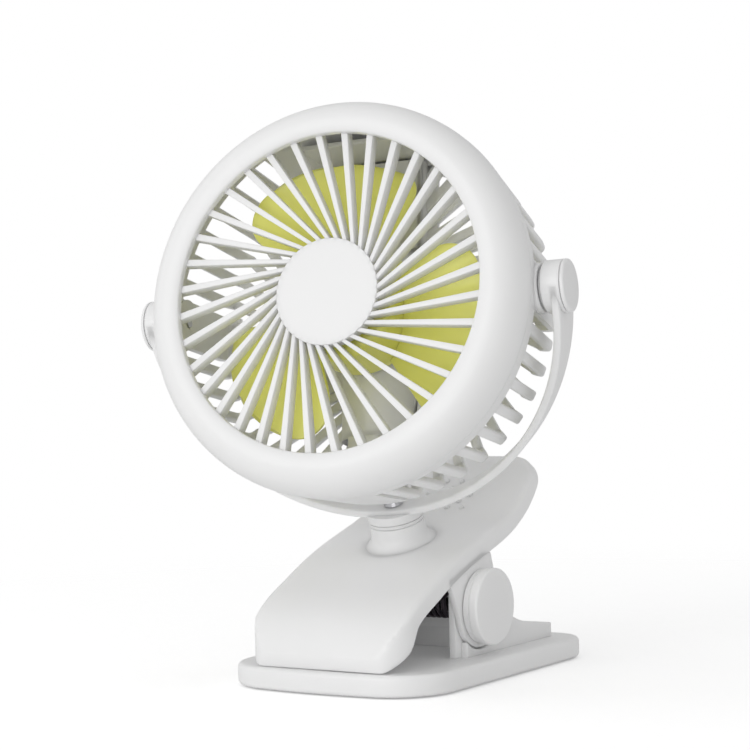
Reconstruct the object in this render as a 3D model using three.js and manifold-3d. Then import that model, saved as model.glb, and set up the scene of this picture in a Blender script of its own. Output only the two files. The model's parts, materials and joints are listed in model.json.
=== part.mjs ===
// Clip-on desk fan: a spring clip carries a swivelling yoke, and the yoke carries a tilting
// round head with a front grille, a ribbed rear housing, a three-blade rotor and its motor.
// Millimetres, +Z up, the fan faces -Y, origin at the middle of the underside of the base.
import * as THREE from 'three';
import { mergeVertices } from 'three/addons/utils/BufferGeometryUtils.js';
import Module from 'manifold-3d';

const wasm = await Module();
wasm.setup();

// ---------------------------------------------------------------- driving dimensions
const seat = 0.3; // gap kept between pieces that touch
const wall = 2.2; // usual thickness of the moulded walls

// base of the clip
const base = {
  halfWidth: 42,
  length: 121.4,
  frontRadius: 22,
  rearRadius: 14,
  frontBulge: 1.2,
  bottom: 0.5, // the pad under the base stands proud by this much
  top: 7.8,
  edge: 1.6,
  inset: 3,
};
const pad = { inset: 8, thickness: 1.1 };
const cover = { thickness: 2.4 };
const baseScrew = { x: 26, front: -34, rear: 36, headRadius: 2.4, headHeight: 0.8, shankRadius: 1.2, length: 4 };

// clip pin, spring, cheeks and ears, seen from the side (y, z)
const pin = { y: -1.5, z: 24.6, radius: 2.7, bore: 3.05 };
const pinCap = { radius: 13.3, from: 31.35, face: 37.15, bevel: 0.9, groove: 33.6 };
const cheek = { outer: 31, thickness: 2, radius: 14.3 };
const ear = { outer: 28.6, thickness: 2.6, front: -17, radius: 12.6 };
const foot = { front: -11, clearance: 0.6 };
const deck = {
  halfWidth: 31, rear: 49.75, rearTop: 12.9, midY: 32.5, midTop: 15.3, frontY: 21.5, frontTop: 18.3,
  arcFrom: -40, arcTo: -9,
};
const spring = { wire: 1.7, meanRadius: 4.1, pitch: 2.24, halfLength: 20, leg: 15 };

// lever: an S-shaped plate, jaw lip in front, handle behind
const lever = { halfWidth: 31, thickness: 6.6, skin: 2.6, frontRadius: 12, handleRadius: 9 };
const leverTop = [
  [-56.8, 12.4], [-53.9, 19], [-48.9, 25], [-41.4, 30.3], [-31.8, 35], [-20.9, 40.2],
  [-9.9, 44.5], [1.2, 48.1], [12.6, 51.6], [21.6, 55.2], [30.5, 60.8], [36.8, 67.4], [41.2, 75],
];
const lip = { y: -56.4, z: 8.15, flat: 0.7, rootY: -44.5, rootZ: 16.3 };
const jawPad = { length: 34, width: 10, thickness: 1.1 };

// swivel: its axis leans forward, square to the lever under it
const neck = { y: -5.45, z: 53.83, lean: 18.06, height: 7.8, topRadius: 9.9, footRadius: 12.6 };
const swivel = { angle: 10.94, bore: 1.8, screwRadius: 1.5, headRadius: 3.4, headHeight: 1.7, washer: 0.8 };

// yoke and tilt pivots
const yoke = { innerRadius: 73.1, thickness: 2.7, pivotHeight: 79.15, topWidth: 17.8, lowWidth: 12 };
const pivot = { radius: 8.9, inner: 70.1, capSeat: 76.7, face: 78.2, bore: 1.9, screwRadius: 1.6, recess: 5.6 };
const friction = { radius: 7.4, thickness: 0.6 };
const tilt = -30.51;

// head, measured as depths behind the plane of the front opening
const head = { pivotDepth: 23.8, opening: 55, outer: 68.4, seam: 11.75, crown: 59.5, crownRise: 1.55 };
const grille = { spokes: 36, offset: 10.6, width: 2, face: 1.5, rear: 6, discRadius: 18.4, discThickness: 2,
  rimSides: 36, discSides: 36 };
const shell = {
  spigotFront: 8.6, front: 12.05, bandRear: 19.5, cornerDepth: 47, rear: 52.2, rearRadius: 65, cornerRadius: 5,
  positions: 44, ribWidth: 3.7, ribDepth: 2.9, rearBarWidth: 3.2, rearBarOffset: 17.5, wallRadius: 60,
  rimRadius: 29.5,
};
const solidSectors = [
  { from: -7.4, to: 7.4 },
  { from: 59, to: 121 },
  { from: 172.6, to: 187.4 },
  { from: 261, to: 279 },
];
const cell = { radius: 9.2, length: 65, depth: 46, bottom: -41.2 };
const casing = { radius: 12.4, wall: 1.8 };
const control = { halfWidth: 17, front: 44, bottom: 27, top: 56, wall: 1.8 };
const backCover = { thickness: 1.7, lap: 2.2 };
const board = { width: 29, height: 25, thickness: 1.2 };
const button = { z: 44, radius: 5, clearance: 0.3, proud: 2.2, travel: 0.6 };
const socket = { z: 33, width: 8, height: 3.4 };
const lens = { z: 52.5, radius: 1.3 };

// rotor
const hub = { radius: 22.3, front: 8.2, rear: 32, wall: 1.8, boss: 4.2 };
const blade = { count: 3, tip: 50, rootAngle: 134, sweep: 71, tipFront: 15.5, tipRear: 31.5, thickness: 1.5 };
const motor = { radius: 14, front: 13.5, shaftRadius: 1.5 };

// ---------------------------------------------------------------- materials
const finish = {
  white: { color: 0xe8e8e8, roughness: 0.42, metalness: 0 },
  inner: { color: 0xdcdcd6, roughness: 0.5, metalness: 0 },
  blade: { color: 0xe6e86e, roughness: 0.35, metalness: 0 },
  rubber: { color: 0xc9c9c9, roughness: 0.85, metalness: 0 },
  steel: { color: 0x8d8f93, roughness: 0.3, metalness: 0.9 },
  dark: { color: 0x3b383c, roughness: 0.45, metalness: 0.8 },
  board: { color: 0x2f6b45, roughness: 0.6, metalness: 0 },
  cell: { color: 0x4a78a8, roughness: 0.4, metalness: 0 },
  lens: { color: 0xd8e8ff, roughness: 0.1, metalness: 0 },
};

function node(name, geometry, look) {
  const mesh = new THREE.Mesh(geometry, new THREE.MeshStandardMaterial(finish[look]));
  mesh.name = name;
  return mesh;
}

// ---------------------------------------------------------------- solids and cuts
const fineness = 0.05; // corners closer than this to a flat face are taken out

const radians = THREE.MathUtils.degToRad;
const lerp = THREE.MathUtils.lerp;

function solidOf(geometry) {
  const bare = geometry.clone();
  bare.deleteAttribute('normal');
  bare.deleteAttribute('uv');
  const merged = mergeVertices(bare, 1e-4);
  const corners = merged.index.array;
  const triVerts = [];
  for (let i = 0; i < corners.length; i += 3) {
    const [a, b, c] = [corners[i], corners[i + 1], corners[i + 2]];
    if (a !== b && b !== c && c !== a) triVerts.push(a, b, c);
  }
  const vertProperties = Float32Array.from(merged.attributes.position.array);
  return new wasm.Manifold(new wasm.Mesh({ numProp: 3, vertProperties, triVerts: Uint32Array.from(triVerts) }));
}

function geometryOf(solid) {
  const mesh = solid.simplify(fineness).getMesh();
  const geometry = new THREE.BufferGeometry();
  const positions = new Float32Array((mesh.vertProperties.length / mesh.numProp) * 3);
  for (let i = 0; i < positions.length / 3; i += 1) {
    for (let k = 0; k < 3; k += 1) positions[3 * i + k] = mesh.vertProperties[mesh.numProp * i + k];
  }
  geometry.setAttribute('position', new THREE.BufferAttribute(positions, 3));
  geometry.setIndex(new THREE.BufferAttribute(Uint32Array.from(mesh.triVerts), 1));
  geometry.computeVertexNormals();
  return geometry;
}

function join(...geometries) {
  return geometries.map(solidOf).reduce((sum, next) => sum.add(next));
}

function cut(solid, ...geometries) {
  return geometries.map(solidOf).reduce((rest, tool) => rest.subtract(tool), solid);
}

// ---------------------------------------------------------------- shapes
function outline(points) {
  return new THREE.Shape(points.map(([x, y]) => new THREE.Vector2(x, y)));
}

function disc(radius, x = 0, y = 0) {
  return new THREE.Shape().absarc(x, y, radius, 0, 2 * Math.PI, false);
}

// a flat outline (x, y) raised from z = from to z = to, with rounded edges if asked
function upright(shape, from, to, edge = 0, curveSegments = 5) {
  const geometry = new THREE.ExtrudeGeometry(shape, {
    depth: to - from - 2 * edge,
    curveSegments,
    bevelEnabled: edge > 0,
    bevelThickness: edge,
    bevelSize: edge,
    bevelOffset: -edge,
    bevelSegments: 2,
  });
  return geometry.translate(0, 0, from + edge);
}

// a side outline (y, z) carried across from x = from to x = to
function across(shape, from, to, curveSegments = 5) {
  const geometry = new THREE.ExtrudeGeometry(shape, { depth: to - from, curveSegments, bevelEnabled: false });
  const turn = new THREE.Matrix4().makeBasis(
    new THREE.Vector3(0, 1, 0), new THREE.Vector3(0, 0, 1), new THREE.Vector3(1, 0, 0));
  return geometry.applyMatrix4(turn).translate(from, 0, 0);
}

// a front outline (x, z) carried rearwards from y = from to y = to
function rearward(shape, from, to, curveSegments = 7) {
  const geometry = new THREE.ExtrudeGeometry(shape, { depth: to - from, curveSegments, bevelEnabled: false });
  return geometry.rotateX(Math.PI / 2).translate(0, to, 0);
}

function box(x0, x1, y0, y1, z0, z1) {
  const geometry = new THREE.BoxGeometry(x1 - x0, y1 - y0, z1 - z0);
  return geometry.translate((x0 + x1) / 2, (y0 + y1) / 2, (z0 + z1) / 2);
}

// profiles are [radius, height] pairs; the turned body stands on the named axis
function turned(profile, axis, segments = 20) {
  const points = profile.map(([r, h]) => new THREE.Vector2(r, h));
  const geometry = new THREE.LatheGeometry(points, segments);
  if (axis === 'z') return geometry.rotateX(Math.PI / 2);
  if (axis === 'x') return geometry.rotateZ(-Math.PI / 2);
  return geometry;
}

function rod(radius, from, to, axis, segments = 16) {
  return turned([[0, from], [radius, from], [radius, to], [0, to]], axis, segments);
}

// quarter of an ellipse about (r, h), from angle a to angle b in degrees, as [radius, height] pairs
function arcPoints(r, h, radiusR, radiusH, a, b, steps) {
  const points = [];
  for (let i = 0; i <= steps; i += 1) {
    const t = radians(lerp(a, b, i / steps));
    points.push([r + radiusR * Math.cos(t), h + radiusH * Math.sin(t)]);
  }
  return points;
}

// ---------------------------------------------------------------- base of the clip
function basePlan(inset) {
  const w = base.halfWidth - inset;
  const back = base.length / 2 - inset;
  const front = -base.length / 2 + inset;
  const rf = Math.max(base.frontRadius - inset, 2);
  const rr = Math.max(base.rearRadius - inset, 2);
  const plan = new THREE.Shape();
  plan.moveTo(w - rf, front + base.frontBulge);
  plan.absarc(w - rf, front + base.frontBulge + rf, rf, -Math.PI / 2, 0, false);
  plan.absarc(w - rr, back - rr, rr, 0, Math.PI / 2, false);
  plan.absarc(-w + rr, back - rr, rr, Math.PI / 2, Math.PI, false);
  plan.absarc(-w + rf, front + base.frontBulge + rf, rf, Math.PI, 1.5 * Math.PI, false);
  plan.quadraticCurveTo(0, front - base.frontBulge, w - rf, front + base.frontBulge);
  return plan;
}

function deckOutline(drop) {
  const around = cheek.radius + foot.clearance + drop;
  const start = radians(deck.arcFrom);
  const shape = new THREE.Shape();
  shape.moveTo(pin.y + around * Math.cos(start), base.top - 3);
  shape.absarc(pin.y, pin.z, around, start, radians(deck.arcTo), false);
  shape.quadraticCurveTo(deck.frontY - 4, deck.frontTop + 0.6 - drop, deck.frontY, deck.frontTop - drop);
  shape.quadraticCurveTo(deck.midY - 5, deck.midTop + 0.4 - drop, deck.midY, deck.midTop - drop);
  shape.lineTo(deck.rear - drop, deck.rearTop - drop);
  shape.lineTo(deck.rear - drop, base.top - 3);
  return shape;
}

function footOutline() {
  const around = cheek.radius + foot.clearance;
  const floor = base.top - 3;
  const shape = new THREE.Shape();
  shape.moveTo(foot.front, floor);
  shape.lineTo(pin.y + around, floor);
  shape.lineTo(pin.y + around, pin.z - 6);
  const from = Math.atan2(-6, Math.sqrt(around * around - 36));
  const to = -Math.PI + Math.acos((pin.y - foot.front) / around);
  shape.absarc(pin.y, pin.z, around, from, to, true);
  return shape;
}

function earOutline() {
  const shape = new THREE.Shape();
  shape.moveTo(ear.front, base.top - 3);
  shape.lineTo(pin.y + ear.radius + 4, base.top - 3);
  shape.lineTo(pin.y + ear.radius + 1, base.top + 6);
  shape.absarc(pin.y, pin.z, ear.radius, 0, radians(118), false);
  shape.lineTo(ear.front, pin.z + 5);
  return shape;
}

function baseShell() {
  let body = join(
    upright(basePlan(0), base.bottom, base.top, base.edge, 5),
    across(deckOutline(0), -deck.halfWidth, deck.halfWidth, 5),
  );
  for (const side of [-1, 1]) {
    const inner = side * (ear.outer - ear.thickness);
    const outer = side * ear.outer;
    const skirt = side * deck.halfWidth;
    body = body.add(solidOf(across(earOutline(), Math.min(inner, outer), Math.max(inner, outer))));
    body = body.add(solidOf(across(footOutline(), Math.min(outer, skirt), Math.max(outer, skirt))));
  }
  const coverRoom = base.bottom + cover.thickness + seat;
  body = cut(
    body,
    upright(basePlan(base.inset), base.bottom - 1, coverRoom, 0, 4),
    upright(basePlan(base.inset + 3), coverRoom - 1, base.top - wall, 0, 2),
    across(deckOutline(wall), -deck.halfWidth + wall, deck.halfWidth - wall, 3),
    rod(pin.bore, -ear.outer - 1, ear.outer + 1, 'x').translate(0, pin.y, pin.z),
    upright(roundedBox(jawPad.length + 1, jawPad.width + 1, 2.5, 0, lowerPadY()), base.top - 1.2, base.top + 1),
  );
  for (const [x, y] of baseScrewPlaces()) {
    const post = rod(baseScrew.shankRadius + 1.6, coverRoom, base.top - wall + 0.5, 'z', 8).translate(x, y, 0);
    body = body.add(solidOf(post));
    body = cut(body, rod(baseScrew.shankRadius + seat, coverRoom - 1, base.top - wall, 'z', 8).translate(x, y, 0));
  }
  return node('base_shell', geometryOf(body), 'white');
}

function roundedBox(width, height, radius, x = 0, y = 0) {
  const w = width / 2 - radius;
  const h = height / 2 - radius;
  const shape = new THREE.Shape();
  shape.absarc(x + w, y - h, radius, -Math.PI / 2, 0, false);
  shape.absarc(x + w, y + h, radius, 0, Math.PI / 2, false);
  shape.absarc(x - w, y + h, radius, Math.PI / 2, Math.PI, false);
  shape.absarc(x - w, y - h, radius, Math.PI, 1.5 * Math.PI, false);
  return shape;
}

function lowerPadY() {
  return -base.length / 2 + 16;
}

function baseScrewPlaces() {
  const places = [];
  for (const x of [-baseScrew.x, baseScrew.x]) {
    for (const y of [baseScrew.front, baseScrew.rear]) places.push([x, y]);
  }
  return places;
}

function baseCover() {
  const plate = upright(basePlan(base.inset + seat), base.bottom, base.bottom + cover.thickness, 0, 4);
  const padRoom = upright(basePlan(pad.inset - seat), base.bottom - 1, pad.thickness + seat, 0, 4);
  let body = cut(solidOf(plate), padRoom);
  const headRoom = pad.thickness + seat + baseScrew.headHeight + 0.1;
  for (const [x, y] of baseScrewPlaces()) {
    body = cut(
      body,
      rod(baseScrew.headRadius + seat, 0, headRoom, 'z', 8).translate(x, y, 0),
      rod(baseScrew.shankRadius + seat, 0, base.top, 'z', 8).translate(x, y, 0),
    );
  }
  return node('base_cover', geometryOf(body), 'white');
}

function baseScrews() {
  const head0 = pad.thickness + seat;
  const profile = [
    [0, head0], [baseScrew.headRadius, head0], [baseScrew.headRadius, head0 + baseScrew.headHeight],
    [baseScrew.shankRadius, head0 + baseScrew.headHeight], [baseScrew.shankRadius, head0 + baseScrew.length - 0.5],
    [0, head0 + baseScrew.length],
  ];
  return baseScrewPlaces().map(([x, y], i) => {
    return node(`base_screw_${i + 1}`, turned(profile, 'z', 8).translate(x, y, 0), 'steel');
  });
}

function basePad() {
  return node('base_pad', upright(basePlan(pad.inset), 0, pad.thickness, 0, 4), 'rubber');
}

function lowerJawPad() {
  const plan = roundedBox(jawPad.length, jawPad.width, 2, 0, lowerPadY());
  return node('jaw_pad_lower', upright(plan, base.top - 1.2 + seat, base.top), 'rubber');
}

// ---------------------------------------------------------------- clip pin, caps and spring
function clipPin() {
  const end = pinCap.face - 1.4;
  return node('clip_pin', rod(pin.radius, -end, end, 'x').translate(0, pin.y, pin.z), 'steel');
}

function clipPinCap(name, side) {
  const r = pinCap.radius;
  const { from, face, bevel, groove } = pinCap;
  const bore = pin.radius + seat;
  const profile = [
    [bore, from], [r - 0.5, from], [r - 0.5, groove - 0.4], [r - 0.8, groove], [r, groove + 0.5],
    [r, face - bevel], [r - bevel, face], [0, face],
    [0, face - 1.1], [bore, face - 1.1], [bore, from],
  ];
  const cap = turned(profile, 'x', 22);
  if (side < 0) cap.rotateY(Math.PI);
  return node(name, cap.translate(0, pin.y, pin.z), 'white');
}

// one unbroken wire: a leg under the handle, the coil round the pin, a leg on the deck
function springRoute() {
  const turns = Math.round((2 * spring.halfLength) / spring.pitch);
  const steps = 6 * turns;
  const points = [];
  const place = (x, angle, radius) => new THREE.Vector3(
    x, pin.y + radius * Math.cos(angle), pin.z + radius * Math.sin(angle));
  const start = radians(118);
  const end = start + 2 * Math.PI * turns + radians(-56);
  const legAt = (x, angle, length) => {
    const foot0 = place(x, angle, spring.meanRadius);
    const along = new THREE.Vector3(0, Math.sin(angle), -Math.cos(angle));
    return foot0.addScaledVector(along, length);
  };
  points.push(legAt(-spring.halfLength, start, spring.leg));
  points.push(legAt(-spring.halfLength, start, spring.leg - spring.wire));
  points.push(legAt(-spring.halfLength, start, spring.leg / 2));
  for (let i = 0; i <= steps; i += 1) {
    const t = i / steps;
    points.push(place(lerp(-spring.halfLength, spring.halfLength, t), lerp(start, end, t), spring.meanRadius));
  }
  points.push(legAt(spring.halfLength, end, -spring.leg / 2));
  points.push(legAt(spring.halfLength, end, -spring.leg + spring.wire));
  points.push(legAt(spring.halfLength, end, -spring.leg));
  return points;
}

function leastGap(points, thickness) {
  let least = Infinity;
  for (let i = 0; i < points.length; i += 1) {
    for (let k = i + 6; k < points.length; k += 1) {
      least = Math.min(least, points[i].distanceTo(points[k]));
    }
  }
  return least - thickness;
}

// closed tube through the points, each ring square to the route
function wire(points, radius, sides) {
  const rings = points.map((point, i) => {
    const before = points[Math.max(i - 1, 0)];
    const after = points[Math.min(i + 1, points.length - 1)];
    const along = after.clone().sub(before).normalize();
    const side = new THREE.Vector3(1, 0, 0).addScaledVector(along, -along.x).normalize();
    const up = along.clone().cross(side);
    const ring = [];
    for (let k = 0; k < sides; k += 1) {
      const a = (2 * Math.PI * k) / sides;
      ring.push(point.clone().addScaledVector(side, radius * Math.cos(a)).addScaledVector(up, radius * Math.sin(a)));
    }
    return ring;
  });
  const positions = rings.flat().flatMap((p) => [p.x, p.y, p.z]);
  const faces = [];
  for (let i = 0; i + 1 < rings.length; i += 1) {
    for (let k = 0; k < sides; k += 1) {
      const a = i * sides + k;
      const b = i * sides + ((k + 1) % sides);
      faces.push(a, b, b + sides, a, b + sides, a + sides);
    }
  }
  const last = (rings.length - 1) * sides;
  for (let k = 1; k + 1 < sides; k += 1) {
    faces.push(0, k + 1, k);
    faces.push(last, last + k, last + k + 1);
  }
  const geometry = new THREE.BufferGeometry();
  geometry.setAttribute('position', new THREE.Float32BufferAttribute(positions, 3));
  geometry.setIndex(faces);
  geometry.computeVertexNormals();
  return geometry;
}

function torsionSpring() {
  const points = springRoute();
  console.log(`torsion spring: least gap to itself ${leastGap(points, spring.wire).toFixed(2)} mm`);
  return node('torsion_spring', wire(points, spring.wire / 2, 5), 'dark');
}

// ---------------------------------------------------------------- lever
const leverCurve = new THREE.SplineCurve(leverTop.map(([y, z]) => new THREE.Vector2(y, z)));

// a point of the lever's section, a given depth below its upper face
function leverPoint(t, depth) {
  const point = leverCurve.getPoint(t);
  const along = leverCurve.getTangent(t);
  return new THREE.Vector2(point.x + along.y * depth, point.y - along.x * depth);
}

function leverSection() {
  const shape = new THREE.Shape();
  shape.moveTo(lip.y, lip.z);
  const steps = 20;
  for (let i = 0; i <= steps; i += 1) {
    const p = leverPoint(i / steps, 0);
    shape.lineTo(p.x, p.y);
  }
  for (let i = steps; i >= 3; i -= 1) {
    const p = leverPoint(i / steps, lever.thickness);
    shape.lineTo(p.x, p.y);
  }
  shape.lineTo(lip.rootY, lip.rootZ);
  shape.lineTo(lip.y + lip.flat, lip.z);
  return shape;
}

function leverHollow() {
  const shape = new THREE.Shape();
  const from = 0.24;
  const to = 0.95;
  const steps = 10;
  const start = leverPoint(from, lever.skin);
  shape.moveTo(start.x, start.y);
  for (let i = 1; i <= steps; i += 1) {
    const p = leverPoint(lerp(from, to, i / steps), lever.skin);
    shape.lineTo(p.x, p.y);
  }
  for (let i = steps; i >= 0; i -= 1) {
    const p = leverPoint(lerp(from, to, i / steps), lever.thickness + 3);
    shape.lineTo(p.x, p.y);
  }
  return shape;
}

function leverPlan() {
  const w = lever.halfWidth;
  const front = leverTop[0][0] - 0.6;
  const rear = leverTop[leverTop.length - 1][0] + 1.5;
  const rf = lever.frontRadius;
  const shape = new THREE.Shape();
  shape.absarc(w - rf, front + rf, rf, -Math.PI / 2, 0, false);
  shape.lineTo(w, rear);
  shape.lineTo(-w, rear);
  shape.absarc(-w + rf, front + rf, rf, Math.PI, 1.5 * Math.PI, false);
  return shape;
}

// front view of the handle: its upper corners are rounded
function leverFrontView() {
  const w = lever.halfWidth;
  const top = leverTop[leverTop.length - 1][1];
  const r = lever.handleRadius;
  const shape = new THREE.Shape();
  shape.moveTo(-w, 0);
  shape.lineTo(w, 0);
  shape.absarc(w - r, top - r, r, 0, Math.PI / 2, false);
  shape.absarc(-w + r, top - r, r, Math.PI / 2, Math.PI, false);
  return shape;
}

function cheekOutline() {
  const shape = new THREE.Shape();
  shape.moveTo(-22.5, 35.2);
  shape.quadraticCurveTo(-18.4, 29.5, pin.y + cheek.radius * Math.cos(radians(190)),
    pin.z + cheek.radius * Math.sin(radians(190)));
  shape.absarc(pin.y, pin.z, cheek.radius, radians(190), radians(400), false);
  shape.lineTo(6.6, 42.6);
  shape.lineTo(0, 43);
  return shape;
}

function onSwivelAxis(geometry) {
  return geometry.rotateX(radians(neck.lean)).translate(0, neck.y, neck.z);
}

function neckBoss() {
  const { height, topRadius, footRadius } = neck;
  return onSwivelAxis(turned([
    [0, -height - 1.5], [footRadius, -height - 1.5], [footRadius, -height + 0.4],
    ...arcPoints(footRadius, -2.6, footRadius - topRadius, height - 3, 270, 180, 4),
    [topRadius, -1.9], [topRadius - 0.5, -1.6], [topRadius - 0.5, -1.1], [topRadius, -0.8],
    [topRadius, 0], [0, 0],
  ], 'z', 20));
}

function gripBumps() {
  const bumps = [];
  const rows = [0.785, 0.82, 0.855, 0.89];
  rows.forEach((t, row) => {
    const count = row % 2 === 0 ? 3 : 2;
    const p = leverPoint(t, -0.05);
    for (let i = 0; i < count; i += 1) {
      const x = (i - (count - 1) / 2) * 7.2;
      bumps.push(new THREE.IcosahedronGeometry(0.85, 0).translate(x, p.x, p.y));
    }
  });
  return bumps;
}

function clipLever() {
  const w = lever.halfWidth;
  const section = solidOf(across(leverSection(), -w, w));
  const plan = solidOf(upright(leverPlan(), 0, 100, 0, 4));
  const view = solidOf(rearward(leverFrontView(), -70, 70, 5));
  let body = section.intersect(plan).intersect(view);
  body = cut(body, across(leverHollow(), -w + wall + 0.6, w - wall - 0.6));
  for (const side of [-1, 1]) {
    const outer = side * cheek.outer;
    const inner = side * (cheek.outer - cheek.thickness);
    body = body.add(solidOf(across(cheekOutline(), Math.min(outer, inner), Math.max(outer, inner), 8)));
  }
  body = body.add(solidOf(neckBoss()));
  body = body.add(solidOf(onSwivelAxis(rod(6, -neck.height - 5, -neck.height, 'z'))));
  for (const bump of gripBumps()) body = body.add(solidOf(bump));
  body = cut(
    body,
    onSwivelAxis(rod(swivel.bore, -neck.height - 8, 1, 'z')),
    rod(pin.bore, -w - 1, w + 1, 'x').translate(0, pin.y, pin.z),
    upperPadBlock(seat),
  );
  return node('clip_lever', geometryOf(body), 'white');
}

// the upper pad lies in the sloping face behind the jaw's lip
function upperPadBlock(room) {
  const slope = Math.atan2(lip.rootZ - lip.z, lip.rootY - lip.y);
  const half = jawPad.length / 2 + room;
  const middle = new THREE.Vector2(lerp(lip.y, lip.rootY, 0.52), lerp(lip.z, lip.rootZ, 0.52));
  const depth = room > 0 ? 2 : 0;
  const block = box(-half, half, -4 - room, 4 + room, -depth, jawPad.thickness + room);
  return block.rotateX(slope).translate(0, middle.x, middle.y);
}

function upperJawPad() {
  return node('jaw_pad_upper', upperPadBlock(0), 'rubber');
}

// ---------------------------------------------------------------- swivel joint on the neck
function swivelWasher() {
  const low = seat;
  const high = seat + swivel.washer;
  const profile = [[swivel.bore, low], [9.2, low], [9.2, high], [swivel.bore, high], [swivel.bore, low]];
  return node('swivel_washer', onSwivelAxis(turned(profile, 'z')), 'white');
}

function swivelScrew() {
  const under = yoke.pivotHeight - yoke.innerRadius + seat;
  const foot0 = -neck.height - 8.4;
  const profile = [
    [0, foot0], [swivel.screwRadius, foot0], [swivel.screwRadius, under], [swivel.headRadius, under],
    [swivel.headRadius - 0.4, under + swivel.headHeight], [0, under + swivel.headHeight],
  ];
  return node('swivel_screw', onSwivelAxis(turned(profile, 'z', 16)), 'steel');
}

function swivelNut() {
  const top = -neck.height - 5 - seat;
  const profile = [
    [swivel.bore, top - 2.4], [3.1, top - 2.4], [3.1, top], [swivel.bore, top], [swivel.bore, top - 2.4],
  ];
  return node('swivel_nut', onSwivelAxis(turned(profile, 'z', 6)), 'steel');
}

// ---------------------------------------------------------------- yoke, in the frame of the swivel
function yokeBody() {
  const inner = yoke.innerRadius;
  const outer = inner + yoke.thickness;
  const rise = pivot.radius;
  const band = new THREE.Shape();
  band.moveTo(inner, rise);
  band.absarc(0, 0, inner, 0, -Math.PI, true);
  band.lineTo(-inner, rise);
  band.lineTo(-outer, rise);
  band.absarc(0, 0, outer, Math.PI, 2 * Math.PI, false);
  band.lineTo(outer, rise);
  const strip = rearward(band, -15, 15, 20);
  const side = new THREE.Shape();
  side.absarc(0, 0, yoke.topWidth / 2, 0, Math.PI, false);
  side.bezierCurveTo(-yoke.topWidth / 2, -16, -yoke.lowWidth / 2, -30, -yoke.lowWidth / 2, -50);
  side.lineTo(-yoke.lowWidth / 2, -outer - 1);
  side.lineTo(yoke.lowWidth / 2, -outer - 1);
  side.lineTo(yoke.lowWidth / 2, -50);
  side.bezierCurveTo(yoke.lowWidth / 2, -30, yoke.topWidth / 2, -16, yoke.topWidth / 2, 0);
  let body = solidOf(strip).intersect(solidOf(across(side, -100, 100, 5)));
  const collar = seat + swivel.washer + seat - yoke.pivotHeight;
  body = body.add(solidOf(rod(neck.topRadius, collar, -inner - 1, 'z', 20)));
  for (const end of [-1, 1]) {
    const boss = turned([
      [pivot.bore, pivot.inner], [pivot.radius - 0.6, pivot.inner], [pivot.radius, pivot.inner + 0.9],
      [pivot.radius, pivot.capSeat], [pivot.recess, pivot.capSeat], [pivot.recess, pivot.inner + 2.4],
      [pivot.bore, pivot.inner + 2.4], [pivot.bore, pivot.inner],
    ], 'x', 20);
    const room = rod(pivot.recess, pivot.inner + 2.4, outer + 2, 'x', 20);
    const hole = rod(pivot.bore, pivot.inner - 1, outer, 'x', 20);
    if (end < 0) [boss, room, hole].forEach((piece) => piece.rotateY(Math.PI));
    body = body.add(solidOf(boss)).subtract(solidOf(room)).subtract(solidOf(hole));
  }
  const throat = rod(swivel.bore, -outer - 5, -inner + 2, 'z');
  return node('yoke', geometryOf(cut(body, throat)), 'white');
}

function pivotCap(name, side) {
  const spigot = pivot.recess - seat;
  const from = pivot.capSeat + seat;
  const profile = [
    [0, from - 1.6], [spigot, from - 1.6], [spigot, from], [pivot.radius, from],
    [pivot.radius, pivot.face - 0.5], [pivot.radius - 0.5, pivot.face], [0, pivot.face],
  ];
  const cap = turned(profile, 'x', 22);
  if (side < 0) cap.rotateY(Math.PI);
  return node(name, cap, 'white');
}

function pivotScrew(name, side) {
  const under = pivot.inner + 2.4 + seat;
  const profile = [
    [0, 63], [pivot.screwRadius, 63], [pivot.screwRadius, under], [3.6, under],
    [3.3, under + 1.6], [0, under + 1.6],
  ];
  const screw = turned(profile, 'x', 12);
  if (side < 0) screw.rotateY(Math.PI);
  return node(name, screw, 'steel');
}

function frictionWasher(name, side) {
  const outer = pivot.inner - seat;
  const inner = outer - friction.thickness;
  const profile = [
    [pivot.bore, inner], [friction.radius, inner], [friction.radius, outer], [pivot.bore, outer],
    [pivot.bore, inner],
  ];
  const washer = turned(profile, 'x', 16);
  if (side < 0) washer.rotateY(Math.PI);
  return node(name, washer, 'rubber');
}

// ---------------------------------------------------------------- head, y measured from the pivots
const atDepth = (depth) => depth - head.pivotDepth;
const behind = (geometry) => geometry.translate(0, -head.pivotDepth, 0);

function bezelProfile() {
  const inside = wall;
  const a = head.outer - head.crown;
  const b = head.seam + head.crownRise;
  const lipA = head.crown - head.opening;
  return [
    [head.opening, grille.rear],
    [head.opening, 0],
    ...arcPoints(head.crown, 0, lipA, head.crownRise, 180, 270, 2).slice(1),
    ...arcPoints(head.crown, head.seam, a, b, 270, 360, 5).slice(1),
    ...arcPoints(head.crown, head.seam, a - inside, b - inside, 360, 270, 3),
    [head.opening + inside, head.crownRise + 1.4],
    [head.opening + inside, grille.rear],
    [head.opening, grille.rear],
  ];
}

// a spoke lies along a line that passes the centre at the grille's offset
function spokeOutline() {
  const reach = Math.sqrt((head.opening + 1) ** 2 - grille.offset ** 2);
  const start = Math.sqrt((grille.discRadius - 0.9) ** 2 - grille.offset ** 2);
  const half = grille.width / 2;
  const low = -grille.offset;
  return outline([
    [start, low - half], [reach, low - half - 0.2], [reach, low + half + 0.2], [start, low + half],
  ]);
}

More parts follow.
